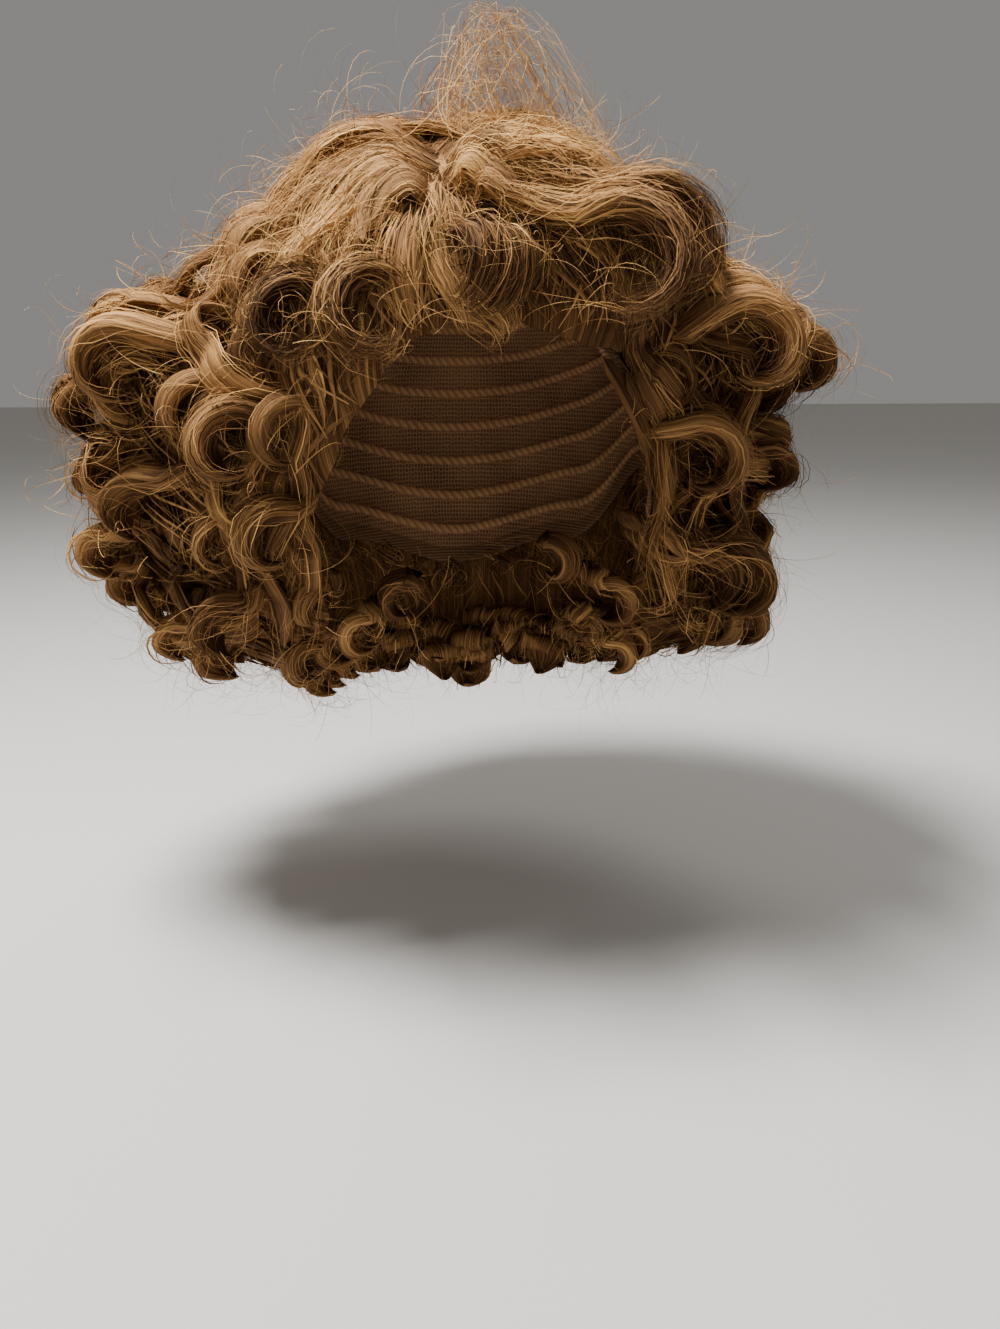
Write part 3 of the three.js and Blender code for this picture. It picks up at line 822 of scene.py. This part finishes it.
def lay_mat(fibres, section, count):
    """Short strands laid flat over the mass, so that only hair shows between the locks."""
    first, last, top = SECTIONS[section]
    end = CROWN_POLAR + MAT_PAST if section == "crown" else MASS_END
    t = np.linspace(0, 1, SHORT_STEPS)
    azimuth = each(first, last, count)
    polar = np.degrees(np.arccos(each(np.cos(np.radians(end)), np.cos(np.radians(top)), count)))
    beat = phases(count) + t * each(2, 6, count)
    around = azimuth + MAT_SWING * np.sin(beat) + rng.normal(0, 9, (count, 1)) * t
    down = polar + each(14, 30, count) * t
    way = direction(around, down)
    reach = under_reach(around, down) + MAT_CLEAR + MAT_WAVE * np.cos(beat)
    kept = (reach > lining_reach(way) + MAT_CLEAR).all(1) & (down[:, -1] < MASS_END + MAT_PAST)
    # Painted shade: the mat strands are darker, a little less than the mass under them
    tone = rng.normal(UNDER_SHADE + 0.1, 0.08, (kept.sum(), 1, 1))
    along = np.linspace(0.2, 0.8, SHORT_STEPS)
    lay_ribbons(fibres, placed(way, reach)[kept], way[kept], MAT_WIDTH, tone, along, MAT_LENGTH)


def lay_hairline(fibres, section, count):
    """Short strands from the cap's front edge, swept up over the mass behind the fringe."""
    first, last, _ = SECTIONS[section]
    t = np.linspace(0, 1, SHORT_STEPS)
    azimuth = each(first, last, count)
    around = azimuth + rng.normal(0, 5, (count, 1)) * t
    polar = lining_polar(azimuth) + each(0, 2, count) - each(8, 20, count) * t
    way = direction(around, polar)
    lift = each(0.3, 2.5, count) * np.sin(np.pi * t)
    reach = np.maximum(under_reach(around, polar), lining_reach(way) + HAIRLINE_CLEAR) + lift
    # Painted shade: the hairline strands are dark, as they lie under the fringe
    tone = rng.normal(-0.22, 0.1, (count, 1, 1))
    along = np.linspace(0, 0.6, SHORT_STEPS)
    lay_ribbons(fibres, placed(way, reach), way, HAIRLINE_WIDTH, tone, along, HAIRLINE_LENGTH)


def under_hair(fibres, section):
    """The mass behind the locks: a closed patch from the cap out to just under the curls, darkened with
    painted shade.
    """
    first, last, top = SECTIONS[section]
    columns, end = (73, CROWN_POLAR) if section == "crown" else (41, MASS_END)
    top = max(top - 1, 0.5)
    azimuth = np.linspace(first, last, columns)[None]
    polars = np.linspace(top, end, 200)
    room = under_reach(azimuth, polars[:, None]) - lining_reach(direction(azimuth, polars[:, None]))
    thin = room < UNDER_ROOM
    hairline = polars[np.where(thin.any(0), np.argmax(thin, 0), -1)]
    polar = between(top, hairline[None], np.linspace(0, 1, 26)[:, None])
    way = direction(azimuth, polar)
    inner = lining_reach(way)
    outer = np.maximum(under_reach(azimuth, polar), inner + UNDER_LEAST)
    loop = np.concatenate([placed(way, outer), placed(way, inner + UNDER_RISE)[::-1]]).transpose(1, 0, 2)
    normals = np.concatenate([way, -way[::-1]]).transpose(1, 0, 2)
    spread = (azimuth + 0 * polar, polar)
    around, down = (np.concatenate([part, part[::-1]]).T * UNDER_GRAIN for part in spread)
    fibres.add_grid(loop[None], normals[None], UNDER_SHADE, 0.3, grain_of(around, down, 3.0)[None], True)


def lay_hairs(fibres, middle, flat_way, width):
    """Thin tapered ribbons along the middle lines of single hairs."""
    count, steps = middle.shape[:2]
    tangent = unit(np.gradient(middle, axis=1))
    facing = unit(np.cross(tangent, flat_way))
    side = unit(np.cross(tangent, facing))
    taper = between(1, 0.35, np.linspace(0, 1, steps))[None, :, None]
    half = width * rng.uniform(0.6, 1.2, (count, 1, 1)) / 2 * taper
    # Painted light: single hairs are lighter, as if light shone through them
    tone = rng.normal(0.12, 0.1, (count, 1, 1))
    along = np.linspace(0.4, 1, steps)[None, :, None]
    grain = grain_of(rng.uniform(0, 900, (count, 1, 1)), along * HAIR_LENGTH, 5.0)
    fibres.add_ribbons(middle, side, facing, half, 0.5, 0.0, tone, along, grain)


def loose_hairs(fibres, spot, heading, bend_axis, length, bend, width):
    """Fine single hairs from a spot along a heading, bending about an axis by so many radians."""
    count, legs = len(spot), HAIR_STEPS - 1
    path, way = [spot], heading
    turn, leg = (bend / legs)[:, None], (length / legs)[:, None]
    kink = each(0.3, 2.2, count)
    for step in range(legs):
        path.append(path[-1] + way * leg)
        amount = turn * (0.4 + kink * step / HAIR_STEPS)
        way = unit(way * np.cos(amount) + np.cross(bend_axis, way) * np.sin(amount))
    flat_way = bend_axis[:, None] + rng.normal(0, 0.4, (count, 1, 3))
    lay_hairs(fibres, np.stack(path, 1), flat_way, width)


def lay_flyaways(fibres, locks, count):
    """Single fine hairs that curl away from the locks, but rise where they are by the face opening."""
    picks = [locks[k] for k in rng.integers(0, len(locks), count)]
    rows = rng.integers(LOCK_RINGS // 4, LOCK_RINGS - 1, count)
    line, across, out = (np.array([getattr(lock, part)[row] for lock, row in zip(picks, rows)])
                         for part in ("line", "across", "out"))
    turn = each(0, 2 * np.pi, count)
    wide, deep = np.array([(lock.half_width, lock.half_thick) for lock in picks]).T[..., None]
    spot = line + 0.9 * (across * wide * np.cos(turn) + out * deep * np.sin(turn))
    outward = unit(spot - MASS_MIDDLE)
    heading = np.cross(across, out) + outward * each(0.1, 0.9, count)
    heading = unit(heading + rng.normal(0, 0.35, (count, 3)))
    by_face = (spot[:, 1] < FACE_FRONT) & (spot[:, 2] < FACE_TOP)
    heading[:, 2] = np.where(by_face, np.abs(heading[:, 2]), heading[:, 2])
    bend_axis = np.cross(heading, outward) * rng.choice([-1, 1], (count, 1))
    bend_axis = unit(bend_axis + rng.normal(0, 0.5, (count, 3)))
    length, bend = rng.uniform(14, 44, count), rng.uniform(1.8, 6.0, count)
    loose_hairs(fibres, spot, heading, bend_axis, length, bend, HAIR_WIDTH)


def crown_height(places):
    """The height of the crown's dome under places over it."""
    return MASS_MIDDLE[2] + np.sqrt(TUFT_DOME ** 2 - (places[..., :2] ** 2).sum(-1))


def lay_tuft(fibres, count):
    """The frizz over the crown: single hairs that wind round a soft peak, and long loops beside it."""
    t = np.linspace(0, 1, TUFT_STEPS)[None]
    wisp = rng.integers(0, TUFT_WISPS, count)

    def shared(low, high, own):
        """One value for each hair, near the one that its wisp shares."""
        common = rng.uniform(low, high, TUFT_WISPS)[wisp]
        return np.clip(common + rng.normal(0, own, count), low, high)[:, None]

    level = shared(0.05, 1.0, 0.16) ** 1.1
    climb = level * eased(t / shared(0.25, 0.7, 0.08))
    climb = np.clip(climb + 0.06 * swaying(count, 2, 7, t) * t, 0, 1)
    winding = rng.choice([-1, 1], TUFT_WISPS)[wisp, None] * shared(0.8, 3.0, 0.3)
    around = shared(0, TURN, 0.25) + winding * t
    spread = shared(0.1, 1.05, 0.14) ** 0.6
    reach = spread * (1 - climb) ** 0.85 + each(0.02, 0.2, count) * climb
    aside = np.stack([np.sin(around) * TUFT_SPREAD[0], -np.cos(around) * TUFT_SPREAD[1], 0 * around], -1)
    middle = between(TUFT_FOOT, TUFT_PEAK, climb[..., None]) + aside * reach[..., None]
    middle = middle + rng.normal(0, 2.5, (count, 1, 3)) * climb[..., None]
    for size, low, high in TUFT_KINKS:
        beat = rng.uniform(low, high, (count, 1, 3)) * t[..., None] + rng.uniform(0, TURN, (count, 1, 3))
        middle = middle + size * rng.uniform(0.3, 1.5, (count, 1, 1)) * np.sin(beat)
    middle[..., 2] += crown_height(middle) * (1 - climb)
    lay_hairs(fibres, middle, rng.normal(0, 1, (count, 1, 3)), HAIR_WIDTH)
    spot = rng.uniform(*LOOP_PLACES, (LOOPS, 3))
    spot[:, 2] = crown_height(spot) - LOOP_SINK
    heading = unit(rng.normal((-0.5, -0.1, 0.8), 0.3, (LOOPS, 3)))
    bend_axis = unit(rng.normal((0, 1, 0), 0.3, (LOOPS, 3)))
    length, bend = rng.uniform(35, 66, LOOPS), rng.uniform(2.0, 4.2, LOOPS)
    loose_hairs(fibres, spot, heading, bend_axis, length, bend, LOOP_WIDTH)


def kept_inside(points):
    """Points brought softly back to the room that the wig may take up."""
    for limit, way in ((LIMIT_HIGH, 1), (LIMIT_LOW, -1)):
        over = np.maximum((points - limit) * way + SOFT_ROOM, 0)
        points = np.where(over > 0, limit - way * SOFT_ROOM * np.exp(-over / SOFT_ROOM), points)
    return points


def add_layer(mesh, name, values, domain="POINT"):
    """Keeps a value or a vector for each point or corner."""
    kind, key = ("FLOAT_VECTOR", "vector") if values.ndim > 1 else ("FLOAT", "value")
    layer = mesh.attributes.new(name, kind, domain)
    layer.data.foreach_set(key, values.astype(np.float32).ravel())


def new_object(name, data):
    thing = bpy.data.objects.new(name, data)
    bpy.context.scene.collection.objects.link(thing)
    return thing


def hair_piece(name, fibres, material):
    """One mesh from all its fibres, with what the finish needs and a map cell for each."""
    layers = {key: np.concatenate(values) for key, values in fibres.layers.items()}
    points = kept_inside(layers["points"]) * MM
    quads = np.concatenate(fibres.quads).astype(np.int32)
    mesh = bpy.data.meshes.new(name)
    mesh.vertices.add(len(points))
    mesh.vertices.foreach_set("co", points.astype(np.float32).ravel())
    mesh.loops.add(quads.size)
    mesh.loops.foreach_set("vertex_index", quads.ravel())
    mesh.polygons.add(len(quads))
    mesh.polygons.foreach_set("loop_start", np.arange(0, quads.size, 4, dtype=np.int32))
    mesh.polygons.foreach_set("use_smooth", np.ones(len(quads), bool))
    for key in ("tone", "along", "grain"):
        add_layer(mesh, key, layers[key])
    uv = cell_map(fibres.cells).astype(np.float32)
    mesh.uv_layers.new(name="OFBake").data.foreach_set("uv", uv.ravel())
    mesh.update(calc_edges=True)
    mesh.validate()
    mesh.normals_split_custom_set_from_vertices(unit(layers["normals"]).astype(np.float32))
    mesh.materials.append(material)
    return new_object(name, mesh)


def cell_map(batches):
    """Map corners for all grids: each grid has a cell of its own, and the cells fill the unit square."""
    side = int(np.ceil(np.sqrt(sum(count for count, _, _ in batches))))
    cell = 0
    corners = []
    for count, rows, columns in batches:
        number = cell + np.arange(count)
        cell += count
        low = np.stack([number % side, number // side], 1) / side
        place = np.stack(np.meshgrid(np.arange(columns), np.arange(rows)), -1)
        box = np.stack([place + step for step in ((0, 0), (1, 0), (1, 1), (0, 1))], 2) / (columns, rows)
        corners.append((low[:, None, None, None] + (0.08 + 0.84 * box[None]) / side).reshape(-1, 2))
    return np.concatenate(corners)


def linear(shades):
    """Paint values from 0 to 255 as linear colour."""
    values = np.array(shades) / 255
    return tuple(np.where(values <= 0.04045, values / 12.92, ((values + 0.055) / 1.055) ** 2.4)) + (1.0,)


class Finish:
    """A material, with short ways to add nodes to it and to set or link what goes into them."""

    def __init__(self, name):
        self.material = bpy.data.materials.new(name)
        self.material.use_nodes = True
        self.tree = self.material.node_tree

    def fill(self, node, inputs):
        """Sets each input of a node to its value, or links it to its socket."""
        for key, value in inputs.items():
            if isinstance(value, bpy.types.NodeSocket):
                self.tree.links.new(value, node.inputs[key])
            else:
                node.inputs[key].default_value = value

    def coat(self, **inputs):
        """Fills the surface itself, with inputs named by their words joined up."""
        surface = {key.replace("_", " "): value for key, value in inputs.items()}
        self.fill(self.tree.nodes["Principled BSDF"], surface)
        return self.material

    def add(self, kind, output, inputs, **settings):
        node = self.tree.nodes.new("ShaderNode" + kind)
        for key, value in settings.items():
            setattr(node, key, value)
        self.fill(node, inputs)
        return node.outputs[output]

    def layer(self, name, output="Fac"):
        return self.add("Attribute", output, {}, attribute_name=name)

    def maths(self, operation, *values):
        return self.add("Math", 0, dict(enumerate(values)), operation=operation)

    def plus(self, base, value, share):
        return self.maths("MULTIPLY_ADD", value, share, base)

    def stirred(self, base, noise, share):
        """A base moved up and down by a share of a noise."""
        return self.plus(base, self.maths("SUBTRACT", noise, 0.5), share)

    def ranged(self, value, limits):
        names = ("From Min", "From Max", "To Min", "To Max")
        return self.add("MapRange", "Result", dict(zip(names, limits), Value=value))

    def colour(self, place, colours):
        """The colour at a place from 0 to 1 on an even scale of colours."""
        ramp = self.tree.nodes.new("ShaderNodeValToRGB")
        self.fill(ramp, {"Fac": place})
        elements = ramp.color_ramp.elements
        while len(elements) < len(colours):
            elements.new(0.5)
        for element, position, shades in zip(elements, np.linspace(0, 1, len(colours)), colours):
            element.position = position
            element.color = linear(shades)
        return ramp.outputs["Color"]

    def bump(self, height, strength):
        return self.add("Bump", "Normal", {"Strength": strength, "Distance": RELIEF, "Height": height})


def hair_fibre():
    """Ginger hair: darker at the root, streaked along each strand, with a soft sheen."""
    finish = Finish("ginger_fibre")
    grain = finish.layer("grain", "Vector")

    def streaks(across, along, detail):
        stretched = finish.add("VectorMath", 0, {0: grain, 1: (across, along, 1.0)}, operation="MULTIPLY")
        return finish.add("TexNoise", "Fac", {"Vector": stretched, "Scale": 1.0, "Detail": detail})

    fine, clump, broad = streaks(1.7, 0.02, 2.0), streaks(0.75, 0.015, 2.0), streaks(0.22, 0.012, 1.0)
    from_root = finish.ranged(finish.layer("along"), (0.0, 0.5, 0.36, 0.52))
    place = finish.maths("ADD", from_root, finish.layer("tone"))
    for streak, share in ((fine, 0.85), (clump, 0.6), (broad, 0.4)):
        place = finish.stirred(place, streak, share)
    return finish.coat(
        Base_Color=finish.colour(place, HAIR_COLOURS), Roughness=finish.plus(0.5, fine, 0.22),
        Normal=finish.bump(finish.plus(fine, clump, 1.5), 0.55),
        Specular_IOR_Level=0.05, Specular_Tint=linear(HAIR_SHEEN))


def cap_net():
    """Fine brown net with sewn rows of weft, and a closer woven tape round the edge."""
    finish = Finish("woven_cap_net")
    weave, hem, weft = finish.layer("weave", "Vector"), finish.layer("hem"), finish.layer("weft")

    def threads(lie, scale, distortion):
        inputs = {"Vector": weave, "Scale": scale, "Distortion": distortion}
        return finish.add("TexWave", "Fac", inputs, bands_direction=lie)

    def mixed(share, low, high):
        return finish.add("Mix", "Result", {"Factor": share, "A": low, "B": high})

    cells = finish.add("TexVoronoi", "Distance", {"Vector": weave, "Scale": 0.52, "Randomness": 0.3},
                       feature="DISTANCE_TO_EDGE")
    height = mixed(weft, finish.ranged(cells, (0.04, 0.2, 1.0, 0.0)), threads("DIAGONAL", 0.13, 1.2))
    height = mixed(hem, height, threads("Y", 0.22, 0.6))
    wear = finish.add("TexNoise", "Fac", {"Vector": weave, "Scale": 0.03, "Detail": 4.0})
    shade = finish.plus(finish.plus(0.18, height, 0.45), weft, 0.28)
    # Painted shade: the hem tape, which faces the light, is darkened
    shade = finish.maths("MULTIPLY", finish.stirred(shade, wear, 0.5), finish.plus(1.0, hem, -0.5))
    return finish.coat(
        Base_Color=finish.colour(shade, NET_COLOURS), Roughness=finish.plus(0.92, height, -0.15),
        Normal=finish.bump(height, 0.5), Specular_IOR_Level=0.2)


def cap_wall(share, inside):
    """Points of one side of the cap's wall, what is hem tape and weft, and how far down they lie."""
    azimuth = np.linspace(0, 360, CAP_SECTORS, endpoint=False)
    edge = edge_polar(azimuth)
    turns = range(-RING_CALM, RING_CALM + 1, CALM_STEP)
    calm = np.mean([edge_polar(azimuth + turn) for turn in turns], 0)
    polar = share[:, None] * (calm + (edge - calm) * share[:, None] ** 3)
    to_edge = np.radians(edge - polar) * CAP_RADIUS
    hem = eased((HEM_WIDTH - to_edge) / HEM_SLOPE)
    rim = np.sqrt(np.clip(1 - (1 - np.minimum(to_edge / RIM_ROUND, 1)) ** 2, 0, 1))
    stitch = np.exp(-((to_edge - HEM_WIDTH + STITCH_INSET) / STITCH_WIDTH) ** 2)
    stitch = stitch * (0.6 + 0.4 * np.sin(np.radians(azimuth) * STITCHES)[None])
    from_row = np.abs((share * WEFT_ROWS + 0.5) % 1 - 0.5)
    weft = eased((WEFT_FOOT - from_row) / (WEFT_FOOT - WEFT_TOP)) * (share * WEFT_ROWS > 0.5)
    weft = weft[:, None] * (1 - hem) * inside
    relief = HEM_RISE * hem - STITCH_DEPTH * stitch + WEFT_RISE * weft
    middle = CAP_WALL / 2
    rise = middle + (-1 if inside else 1) * (middle - FINISH_DEPTH + relief) * rim
    return cap_point(azimuth[None], polar, rise), hem, weft, np.radians(polar) * CAP_RADIUS


def cap_piece(material):
    """The fitted cap: a thin domed wall with rows of wefts inside and a stitched tape round its edge."""
    steps = np.array([-WEFT_FOOT, -WEFT_SIDE, -WEFT_TOP, 0, WEFT_TOP, WEFT_SIDE, WEFT_FOOT, 0.5])
    rows = (np.arange(1, WEFT_ROWS)[:, None] + steps).ravel() / WEFT_ROWS
    hem_share = np.concatenate([np.linspace(0.935, 0.995, 16), [0.9975, 0.999, 1.0]])
    inner_share = np.concatenate([[0.01, 0.04], rows[rows < HEM_SHARE], hem_share])
    outer_share = np.concatenate([[0.999, 0.9975, 0.99, 0.97, 0.94], np.linspace(0.9, 0.01, 14)])
    sides = zip(cap_wall(inner_share, True), cap_wall(outer_share, False))
    rings, hem, weft, down = (np.concatenate(pair) for pair in sides)
    ids = np.arange(rings.shape[0] * CAP_SECTORS).reshape(rings.shape[:2])
    ids = np.concatenate([ids, ids[:, :1]], 1)
    quads = np.stack([ids[:-1, :-1], ids[1:, :-1], ids[1:, 1:], ids[:-1, 1:]], -1).reshape(-1, 4)
    faces = quads[:, ::-1].tolist() + [ids[0, :-1].tolist(), ids[-1, :-1][::-1].tolist()]
    mesh = bpy.data.meshes.new("fitted_cap")
    mesh.from_pydata((rings.reshape(-1, 3) * MM).tolist(), [], faces)
    mesh.polygons.foreach_set("use_smooth", np.ones(len(mesh.polygons), bool))
    add_layer(mesh, "hem", hem.ravel())
    add_layer(mesh, "weft", weft.ravel())
    corner = np.concatenate([np.array(face) for face in faces])
    column = np.repeat(np.arange(len(quads)) % CAP_SECTORS, 4).reshape(-1, 4) + np.array([1, 1, 0, 0])
    column = np.concatenate([column.ravel(), corner[quads.size:] % CAP_SECTORS])
    around = column * (2 * np.pi * CAP_RADIUS / CAP_SECTORS)
    add_layer(mesh, "weave", np.stack([around, down.ravel()[corner], 0 * around], 1), "CORNER")
    mesh.materials.append(material)
    return new_object("fitted_cap", mesh)


def studio():
    """A plain pale floor, soft light from the upper left and the camera."""
    floor_mesh = bpy.data.meshes.new("pale_floor")
    sides = ((-1, -1), (1, -1), (1, 1), (-1, 1))
    corners = [(x * FLOOR_REACH, y * FLOOR_REACH, FLOOR_HEIGHT) for x, y in sides]
    floor_mesh.from_pydata(corners, [], [(0, 1, 2, 3)])
    paint = Finish("pale_floor_paint").coat(Base_Color=linear(FLOOR_COLOUR), Roughness=0.8)
    floor_mesh.materials.append(paint)
    floor = new_object("pale_floor", floor_mesh)
    world = bpy.data.worlds.new("soft_surround")
    world.use_nodes = True
    for key, value in SURROUND.items():
        world.node_tree.nodes["Background"].inputs[key].default_value = value
    bpy.context.scene.world = world
    for name, (place, aim, extent, power) in LIGHTS.items():
        lamp = bpy.data.lights.new(name, "AREA")
        lamp.energy = power
        lamp.size = extent
        holder = new_object(name, lamp)
        holder.visible_camera = False
        holder.location = place
        holder.rotation_euler = (Vector(aim) - Vector(place)).to_track_quat("-Z", "Y").to_euler()
    flat = np.cos(VIEW_PITCH)
    ahead = Vector((np.sin(VIEW_YAW) * flat, np.cos(VIEW_YAW) * flat, -np.sin(VIEW_PITCH)))
    right = Vector((np.cos(VIEW_YAW), -np.sin(VIEW_YAW), 0))
    view = bpy.data.cameras.new("view")
    view.sensor_width = VIEW_SENSOR
    view.lens = VIEW_SENSOR * FOCAL_LENGTH / PICTURE_HEIGHT
    view.clip_start = VIEW_START
    camera = new_object("view", view)
    turned = Matrix((right, right.cross(ahead), -ahead)).transposed()
    camera.matrix_world = Matrix.Translation(VIEW_PLACE) @ turned.to_4x4()
    bpy.context.scene.camera = camera


def dress(piece_name, section, locks, hidden=(), mass=True):
    """Builds one piece of hair from its locks and lets it stand for its solid."""
    fibres = Fibres()
    if mass:
        under_hair(fibres, section)
        lay_mat(fibres, section, MAT_STRANDS)
    if section == "fringe":
        lay_hairline(fibres, section, HAIRLINE_STRANDS)
    for lock in locks:
        if lock not in hidden:
            lay_core(fibres, lock)
    if section == "crown":
        lay_tuft(fibres, TUFT_HAIRS)
    lay_flyaways(fibres, locks, FLYAWAYS[section])
    cover = np.array([lock.length * (lock.half_width + lock.half_thick) for lock in locks])
    cost = np.array([2 * (lock.steps - 1) for lock in locks])
    spare = (BUDGETS[piece_name] - fibres.triangles()) / (cover * cost).sum()
    for lock, strands in zip(locks, cover * spare):
        for share, *kind in STRANDS:
            lay_strands(fibres, lock, max(FEWEST_STRANDS, int(strands * share)), *kind)
    piece = hair_piece(piece_name, fibres, fibre)
    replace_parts(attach(piece, "root"), section + "_hair")


fibre = hair_fibre()
for number, section in enumerate(SECTIONS):
    rng = np.random.default_rng(SEED + number)
    if section == "crown":
        dress("crown_waves", section, crown_locks())
    elif section == "fringe":
        dress("fringe_curls", section, curl_locks(section, CURL_ROWS[section]) + fringe_locks())
    elif section == "back":
        inner, cover, rows = inner_locks(section), cover_locks(section), CURL_ROWS[section]
        upper = curl_locks(section, rows[:UPPER_BACK_ROWS]) + cover[:len(cover) // 2]
        lower = curl_locks(section, rows[UPPER_BACK_ROWS:]) + cover[len(cover) // 2:] + inner
        lower += curl_locks(section, GAP_ROWS[section])
        dress("back_upper_curls", section, upper)
        dress("back_lower_curls", section, lower, inner, mass=False)
    else:
        inner = inner_locks(section)
        locks = curl_locks(section, CURL_ROWS[section]) + cover_locks(section) + face_edge_locks(section)
        locks += inner + curl_locks(section, GAP_ROWS[section])
        locks += temple_locks() if section == "right_side" else []
        dress(section + "_curls", section, locks, inner)

cap = cap_piece(cap_net())
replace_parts(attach(cap, "root"), "cap")
studio()
